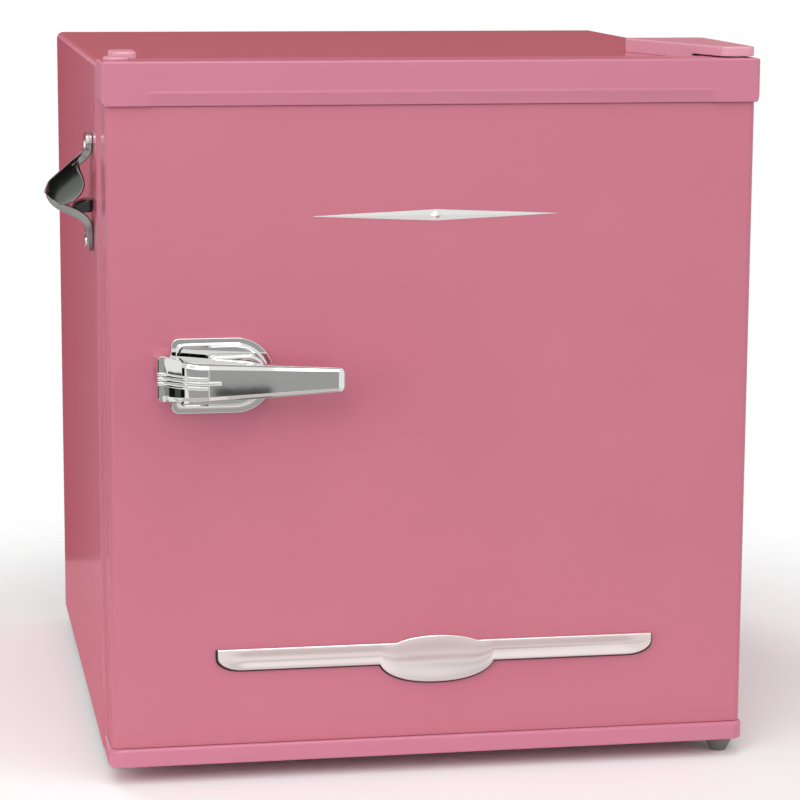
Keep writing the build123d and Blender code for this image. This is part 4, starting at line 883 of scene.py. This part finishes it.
# %% The opener's visor
opener_low, opener_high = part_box("bottle_opener")
opener_y = (opener_low.y + opener_high.y) / 2
wall_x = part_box("cabinet_shell")[0].x
VISOR_IN = 0.5 * MM
VISOR_HALF = (opener_high.y - opener_low.y) / 2 - VISOR_IN
LIFT = 1.0 * MM
RIDGE_START = Vector((5.0, 14.0)) * MM
RIDGE = Vector((0.752, 0.659))
RIDGE_LONG = 36.2 * MM
LEAF_DEEP = 17.9 * MM
# How deep the visor's flanks hang below the ridge in mm, by the way along it.
LEAF_ROOT = ((0.0, 1.2), (0.2, 2.0), (0.25, 5.0), (0.29, 10.0), (0.34, 13.6), (0.42, 16.2))
LEAF_END = ((0.55, 17.7), (0.68, 17.9), (0.82, 16.2), (0.95, 12.6), (1.0, 10.0))
LEAF = LEAF_ROOT + LEAF_END
LEAF_EASE = 0.3


def opener_place(out, drop, y):
    """A point of the opener: how far it stands off the wall, how far below its top, and its y."""
    return Vector((wall_x - out, y, opener_high.z + LIFT - drop))


VISOR_WALL = 2.2 * MM
NOSE_FROM = 0.8
NOSE_IN = 1.4 * MM
NOSE_DOWN = 3.6 * MM
FLANK_STRAIGHT, FLANK_CURVED = 0.42, 0.58
RIDGE_SOFT, RIDGE_SUNK = 0.0012, 0.034
FLARE = 0.18
visor = bmesh.new()
bmesh.ops.create_grid(visor, x_segments=56, y_segments=28, size=1.0)
for vert in visor.verts:
    share = (vert.co.x + 1) / 2
    across = abs(vert.co.y)
    leaf = between(LEAF, share, LEAF_EASE)[0] * MM
    straight = math.sqrt(across**2 + RIDGE_SOFT) - RIDGE_SUNK
    deep = leaf * (FLANK_STRAIGHT * straight + FLANK_CURVED * across**2)
    side = VISOR_HALF * min(1.0, math.sqrt(leaf / LEAF_DEEP)) * vert.co.y
    along = share * RIDGE_LONG + FLARE * deep * share
    out = RIDGE_START.x + along * RIDGE.x - deep * RIDGE.y
    drop = RIDGE_START.y + along * RIDGE.y + deep * RIDGE.x
    bend = max(0.0, (share - NOSE_FROM) / (1 - NOSE_FROM)) ** 2 * (1 - across)
    vert.co = opener_place(out - NOSE_IN * bend, drop + NOSE_DOWN * bend, opener_y + side)
outward(visor)
bmesh.ops.solidify(visor, geom=visor.faces[:], thickness=VISOR_WALL)
outward(visor)
visor_piece = piece_from(visor, "bottle_opener.visor", ["bottle_opener"], 40)
soft_edges(visor_piece, 1.0, 4, 40)
visor_piece.data.materials[0] = casting
tell("visor", visor_piece.dimensions)


# %% The opener's tab, arm and tail
def band(stations):
    """A block cut across and carried along a path of (out, drop, half width, half thickness), in mm."""
    shape = block((0, -1, -1), (len(stations) - 1, 1, 1))
    slice_along(shape, len(stations), 0)
    for hold in (-0.6, 0.6):
        cut(shape, (0, hold, 0), (0, 1, 0))
        cut(shape, (0, 0, hold), (0, 0, 1))
    for vert in shape.verts:
        number = round(vert.co.x)
        out, drop, wide, thick = stations[number]
        before = stations[max(number - 1, 0)]
        after = stations[min(number + 1, len(stations) - 1)]
        along = Vector((after[0] - before[0], after[1] - before[1])).normalized()
        side = vert.co.z * thick
        place = opener_place((out - along.y * side) * MM, (drop + along.x * side) * MM, 0)
        vert.co = (place.x, opener_y + vert.co.y * wide * MM, place.z)
    outward(shape)
    return shape


TAB = (
    (2.3, 0.0, 5.0, 1.9),
    (2.3, 0.8, 11.0, 2.3),
    (2.3, 8.0, 12.5, 2.3),
    (2.9, 12.0, 9.0, 2.8),
    (5.2, 16.2, 8.0, 2.6),
    (9.5, 19.8, 8.0, 2.0),
    (14.0, 23.5, 7.0, 1.5),
)
ARM = (
    (27.0, 37.0, 6.5, 1.5),
    (30.8, 41.4, 8.0, 1.9),
    (27.4, 46.6, 8.5, 2.6),
    (20.6, 50.6, 8.5, 2.9),
    (14.6, 53.2, 8.5, 3.1),
    (8.0, 56.4, 9.0, 2.8),
    (3.4, 60.6, 10.0, 2.9),
    (2.5, 66.5, 10.0, 2.5),
    (2.4, 72.5, 9.0, 2.4),
    (1.9, 78.0, 6.5, 1.7),
    (1.7, 81.0, 3.5, 1.3),
)
# The lug is black as painted shade: the dark hollow under the visor.
SHADE_LUG = (
    (0.4, 49.6, 9.0, 4.4),
    (4.0, 49.6, 9.0, 4.6),
    (8.0, 50.0, 8.6, 4.0),
    (11.5, 50.8, 8.0, 2.6),
    (13.5, 51.4, 7.0, 1.2),
)
# A chrome block round the tab's top, brighter than the casting: a painted highlight.
HIGHLIGHT_BLOCK = (
    (2.4, 0.9, 12.0, 2.1),
    (2.4, 1.5, 13.2, 2.5),
    (2.4, 6.4, 13.2, 2.5),
    (2.4, 7.0, 12.0, 2.1),
)
# The lug's black is painted shade, and the block's bright chrome is a painted highlight.
WEAR = {"tab": casting, "arm": casting, "lug": FINISHES["black_enamel"], "block": FINISHES["chrome"]}
for name, stops in (("tab", TAB), ("arm", ARM), ("lug", SHADE_LUG), ("block", HIGHLIGHT_BLOCK)):
    piece = piece_from(band(stops), "bottle_opener." + name, ["bottle_opener"], 180)
    piece.data.materials[0] = WEAR[name]
    smooth = piece.modifiers.new("flow", "SUBSURF")
    smooth.levels = 3
    smooth.render_levels = 3
print("opener: 5 pieces")

# %% [markdown]
# Screws are small, but a plain disc looks unfinished. A pan head is a disc with a cross pressed into it.
# Planes cut the disc where the cross runs, the faces of the cross go down, and the rim comes down to the
# seat.

# %% Pan heads with a cross
CROSS_HALF = 0.14
CROSS_REACH = 0.56
CROSS_DEEP = 0.55
FIRST_TURN, NEXT_TURN = 0.3, 0.7


def islands(node):
    """The boxes of a node's separate solids, each as its two corners."""
    shape = merged(node)
    left = set(shape.verts)
    boxes = []
    while left:
        found = [left.pop()]
        for vert in found:
            for edge in vert.link_edges:
                other = edge.other_vert(vert)
                if other in left:
                    left.remove(other)
                    found.append(other)
        low = Vector([min(vert.co[axis] for vert in found) for axis in range(3)])
        high = Vector([max(vert.co[axis] for vert in found) for axis in range(3)])
        boxes.append((low, high))
    shape.free()
    return sorted(boxes, key=lambda box: [round(n, 5) for n in box[0]])


def pan_head(centre, out, radius, height, turn):
    """One head: its top's middle, the way it looks, its radius and height, and the turn of its cross."""
    head = bmesh.new()
    bmesh.ops.create_circle(head, cap_ends=True, segments=32, radius=radius)
    slot, arm = CROSS_HALF * radius, CROSS_REACH * radius
    for value in (-arm, -slot, slot, arm):
        cut(head, (value, 0, 0), (1, 0, 0))
        cut(head, (0, value, 0), (0, 1, 0))
    cross = []
    for face in head.faces:
        near, far = sorted(abs(value) for value in face.calc_center_median()[:2])
        if near < slot and far < arm:
            cross.append(face)
    made = bmesh.ops.extrude_face_region(head, geom=cross)
    sunk = [item for item in made["geom"] if isinstance(item, bmesh.types.BMVert)]
    bmesh.ops.translate(head, vec=(0, 0, -CROSS_DEEP * height), verts=sunk)
    made = bmesh.ops.extrude_edge_only(head, edges=[edge for edge in head.edges if edge.is_boundary])
    rim = [item for item in made["geom"] if isinstance(item, bmesh.types.BMVert)]
    bmesh.ops.translate(head, vec=(0, 0, -height), verts=rim)
    bmesh.ops.rotate(head, cent=(0, 0, 0), matrix=Matrix.Rotation(turn, 3, "Z"), verts=head.verts)
    aim = Vector((0, 0, 1)).rotation_difference(out).to_matrix()
    bmesh.ops.rotate(head, cent=(0, 0, 0), matrix=aim, verts=head.verts)
    bmesh.ops.translate(head, vec=centre, verts=head.verts)
    return head


SCREWS = {
    "back_screws": (Vector((0, 1, 0)), 1.8),
    "opener_screws": (Vector((-1, 0, 0)), 2.2),
    "top_hinge_screws": (Vector((0, 0, 1)), 2.2),
    "bottom_hinge_screws": (Vector((0, 0, -1)), 2.2),
}
for node, (out, height) in SCREWS.items():
    heads = bmesh.new()
    for number, (low, high) in enumerate(islands(node)):
        reach = (high - low) / 2
        centre = (low + high) / 2 + Vector([a * b for a, b in zip(out, reach)])
        radius = sorted(reach)[1] if abs(out.dot(reach)) > min(reach) else max(reach)
        turn = FIRST_TURN + NEXT_TURN * number
        join(heads, pan_head(centre, out, radius, height * MM, turn))
    heads_piece = piece_from(heads, node + ".heads", [node], 30)
    soft_edges(heads_piece, 0.35, 3, 60)
    print(node, "heads:", number + 1)

# %% [markdown]
# The thermostat's dial has printed numbers on its housing and a painted line on its grip. Text in Blender
# is a curve, and its mesh is turned to look out of the cabinet.

# %% The dial's numbers and line
DIGIT_TALL = 5 * MM
DIGIT_DEEP = 0.04 * MM
DIGIT_AWAY = 4.5 * MM
DIGIT_FIRST, DIGIT_STEP = 210, 60
LINE_HALF = 0.6 * MM
LINE_PROUD, LINE_SUNK = 0.05 * MM, 0.5 * MM
LINE_FROM, LINE_TO = 0.35, 0.85
knob_low, knob_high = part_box("thermostat_knob")
house_low, house_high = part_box("thermostat_housing")
dial = (knob_low + knob_high) / 2
dial_radius = (knob_high.x - knob_low.x) / 2
numbers = bmesh.new()
for number in range(5):
    curve = bpy.data.curves.new("digit", "FONT")
    curve.body = str(number + 1)
    curve.size = DIGIT_TALL
    curve.extrude = DIGIT_DEEP
    curve.align_x = "CENTER"
    curve.align_y = "CENTER"
    holder = bpy.data.objects.new("digit", curve)
    digit = bmesh.new()
    digit_mesh = bpy.data.meshes.new_from_object(holder)
    digit.from_mesh(digit_mesh)
    bpy.data.objects.remove(holder)
    bpy.data.meshes.remove(digit_mesh)
    bmesh.ops.rotate(digit, cent=(0, 0, 0), matrix=UPRIGHT, verts=digit.verts)
    angle = math.radians(DIGIT_FIRST - DIGIT_STEP * number)
    away = dial_radius + DIGIT_AWAY
    place = (dial.x + away * math.cos(angle), house_low.y, dial.z + away * math.sin(angle))
    bmesh.ops.translate(digit, vec=place, verts=digit.verts)
    join(numbers, digit)
numbers_piece = piece_from(numbers, "thermostat_housing.numbers", ["thermostat_housing"], 30)
wear(numbers_piece, "black_plastic")
low = Vector((dial.x - LINE_HALF, knob_low.y - LINE_PROUD, dial.z + LINE_FROM * dial_radius))
high = Vector((dial.x + LINE_HALF, knob_low.y + LINE_SUNK, dial.z + LINE_TO * dial_radius))
line_piece = piece_from(block(low, high), "thermostat_knob.line", ["thermostat_knob"], 30)
wear(line_piece, "black_plastic")
tell("dial housing", house_high - house_low)

# %% [markdown]
# High on the door lies a plain spear: a long four-sided point, low and bright, with a small lozenge over
# its middle. A cone with four sides, stretched along X, is that shape already.

# %% The spear bar
spear_low, spear_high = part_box("badge_bar")
spear_size = spear_high - spear_low
centre = (spear_low + spear_high) / 2
SPEAR_PARTS = ((1.0, 1.0, 0.75), (0.16, 0.9, 1.0))
spear = bmesh.new()
for wide, tall, deep in SPEAR_PARTS:
    made = bmesh.ops.create_cone(spear, cap_ends=True, segments=4, radius1=1.0, radius2=0.08, depth=1.0)
    size = Vector((spear_size.x / 2 * wide, spear_size.z / 2 * tall, deep * spear_size.y))
    bmesh.ops.scale(spear, vec=size, verts=made["verts"])
    bmesh.ops.translate(spear, vec=(0, 0, size.z / 2), verts=made["verts"])
bmesh.ops.rotate(spear, cent=(0, 0, 0), matrix=UPRIGHT, verts=spear.verts)
bmesh.ops.translate(spear, vec=(centre.x, spear_high.y, centre.z), verts=spear.verts)
spear_piece = piece_from(spear, "badge_bar.chromed", ["badge_bar"], 10)
soft_edges(spear_piece, 0.3, 2, 10)
tell("spear", spear_piece.dimensions)

# %% [markdown]
# The stage is a plain pale floor in soft light. The background is white to the camera and to reflections
# alike. Chrome would be lost in all that white, so cards stand just out of sight, as a product
# photographer sets them: they show only in reflections and cast no shadow. Rose ones behind and beside keep
# the enamel's colour where the eye meets it at a flat angle. A pale one draws the line on the upper edge.

# %% Floor
FLOOR_RADIUS = 3.0
FADE_FROM, FADE_TO = 0.33, 0.72
floor = bmesh.new()
bmesh.ops.create_circle(floor, cap_ends=True, segments=64, radius=FLOOR_RADIUS)
paper = bpy.data.materials.new("matt white paper")
paper.use_nodes = True
tree = paper.node_tree
paper_shader = tree.nodes["Principled BSDF"]
paper_shader.inputs["Base Color"].default_value = linear("#FCFCFC")
paper_shader.inputs["Roughness"].default_value = 0.9
place = add_node(tree, "ShaderNodeTexCoord").outputs["Object"]
away = add_node(tree, "ShaderNodeVectorMath", links={0: place}, operation="LENGTH")
fade = add_node(
    tree,
    "ShaderNodeMapRange",
    {"From Min": FADE_FROM, "From Max": FADE_TO},
    {"Value": away.outputs["Value"]},
    interpolation_type="SMOOTHSTEP",
)
clear_air = add_node(tree, "ShaderNodeBsdfTransparent")
blend = add_node(
    tree,
    "ShaderNodeMixShader",
    links={0: fade.outputs["Result"], 1: paper_shader.outputs["BSDF"], 2: clear_air.outputs["BSDF"]},
)
tree.links.new(blend.outputs["Shader"], tree.nodes["Material Output"].inputs["Surface"])
floor_object = new_object(floor, "studio_floor", paper)
floor_object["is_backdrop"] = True
print("floor radius in m:", FLOOR_RADIUS, "fading from", FADE_FROM, "to", FADE_TO)


# %% Cards for the reflections
def card(name, low, high, colour):
    """A plain card that only reflections see, between two corners in metres."""
    material = bpy.data.materials.new(name + " paint")
    material.use_nodes = True
    glow = add_node(material.node_tree, "ShaderNodeEmission", {"Color": linear(colour), "Strength": 1.0})
    output = material.node_tree.nodes["Material Output"]
    material.node_tree.links.new(glow.outputs["Emission"], output.inputs["Surface"])
    sheet = new_object(block(low, high), name, material)
    for ray in ("camera", "diffuse", "shadow", "transmission"):
        setattr(sheet, "visible_" + ray, False)
    sheet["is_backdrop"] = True


card("card_behind_high", (-0.33, 1.30, 0.45), (3.0, 1.31, 1.6), "#9C4E48")
card("card_behind_left", (-0.34, 0.45, 0.002), (-0.2065, 0.46, 0.49), "#A24A53")
card("card_behind_glow", (-0.80, 1.30, 0.45), (-0.33, 1.31, 1.0), "#FFC4D2")
card("card_floor_left", (-0.34, -0.17, 0.001), (-0.2065, 0.449, 0.002), "#D0848E")
card("card_floor_front", (-0.8, -1.1, 0.001), (0.8, -0.35, 0.002), "#F8F3F2")
card("card_floor_near", (-0.8, -0.35, 0.001), (0.8, -0.22, 0.002), "#D6CCCB")
card("card_floor_dark", (0.05, -0.62, 0.002), (0.20, -0.40, 0.003), "#BDB0AF")
LOW, HIGH = (-0.12, 0.14), (1.0, 3.2)
LEFT_CARDS = (
    ("black", (-0.42, -0.12), LOW, "#141614"),
    ("grey", (-0.80, -0.42), LOW, "#4A524E"),
    ("front", (-1.15, -0.80), LOW, "#101210"),
    ("back", (-0.12, 0.35), LOW, "#8A8F89"),
    ("rose", (0.35, 1.8), (-0.6, 0.99), "#8A4450"),
    ("high", (-0.1, 3.5), HIGH, "#1C1E1C"),
    ("middle", (-0.7, -0.1), HIGH, "#A6AAA8"),
    ("corner", (-1.45, -0.7), HIGH, "#E6E8E6"),
)
for name, (y0, y1), (z0, z1), colour in LEFT_CARDS:
    card("card_left_" + name, (-1.41, y0, z0), (-1.40, y1, z1), colour)
card("card_front", (-1.4, -1.21, 0.05), (0.25, -1.20, 0.18), "#ACACAC")
card("card_front_dark", (0.012, -1.19, 0.104), (0.066, -1.18, 0.115), "#303030")
print("cards: 17")

# %% World and lamps
world = bpy.data.worlds.new("white studio")
bpy.context.scene.world = world
world.use_nodes = True
tree = world.node_tree
background = tree.nodes["Background"]
path = add_node(tree, "ShaderNodeLightPath")
seen = path.outputs["Is Camera Ray"]
for ray in ("Is Glossy Ray", "Is Transmission Ray"):
    either = add_node(tree, "ShaderNodeMath", links={0: seen, 1: path.outputs[ray]}, operation="MAXIMUM")
    seen = either.outputs[0]
AMBIENT = 0.48
level = add_node(tree, "ShaderNodeMapRange", {"To Min": AMBIENT, "To Max": 1.0}, {"Value": seen})
background.inputs["Color"].default_value = (1, 1, 1, 1)
tree.links.new(level.outputs["Result"], background.inputs["Strength"])


def softbox(name, place, aim, size, power, mirrored=True):
    """A square area lamp that looks at a point. A fill lamp isn't seen in reflections."""
    lamp = bpy.data.lights.new(name, "AREA")
    lamp.shape = "SQUARE"
    lamp.size = size
    lamp.energy = power
    holder = bpy.data.objects.new(name, lamp)
    holder.location = place
    holder.visible_glossy = mirrored
    holder.rotation_mode = "QUATERNION"
    holder.rotation_quaternion = (Vector(aim) - Vector(place)).to_track_quat("-Z", "Y")
    bpy.context.scene.collection.objects.link(holder)


softbox("front_softbox", (-0.9, -2.2, 1.9), (0, 0, 0.25), 1.6, 23)
softbox("right_softbox", (2.2, -1.4, 1.2), (0, 0, 0.25), 1.4, 13, False)
softbox("top_softbox", (0.15, -0.95, 2.4), (0, 0, 0.3), 0.9, 10)
softbox("back_softbox", (-1.2, 2.0, 2.6), (0, 0, 0.3), 1.4, 22, False)
softbox("left_softbox", (-2.0, -1.6, 0.9), (0, 0, 0.25), 1.4, 16, False)
print("lamps: 5")

# %% [markdown]
# The camera stands where the photograph was taken: a little to the left, well above the middle, some two
# metres away. Its turn is given as three angles, measured from the door's corners in the picture.

# %% Camera
EYE = Vector((-0.34455, -2.08905, 0.595))
PITCH, YAW, ROLL = 0.1719, -0.1801, -0.026
FOCAL = 2864.4
IMAGE = 800
turn = Matrix.Rotation(YAW, 3, "Y") @ Matrix.Rotation(PITCH, 3, "X") @ Matrix.Rotation(ROLL, 3, "Z")
right = Vector((turn[0][0], turn[0][2], -turn[0][1]))
up = -Vector((turn[1][0], turn[1][2], -turn[1][1]))
forward = Vector((turn[2][0], turn[2][2], -turn[2][1]))
lens = bpy.data.cameras.new("photo_camera")
lens.sensor_width = 36.0
lens.lens = FOCAL / IMAGE * lens.sensor_width
lens.clip_end = 50.0
camera = bpy.data.objects.new("photo_camera", lens)
camera.matrix_world = Matrix((right, up, -forward)).transposed().to_4x4()
camera.location = EYE
bpy.context.scene.collection.objects.link(camera)
bpy.context.scene.camera = camera
bpy.context.scene.view_settings.view_transform = "Standard"
print("lens in mm:", round(lens.lens, 1))

# %% Size note and finish
visual_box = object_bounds()
tell("grown", [a - b for a, b in zip(visual_box[1], cad_box[1])])
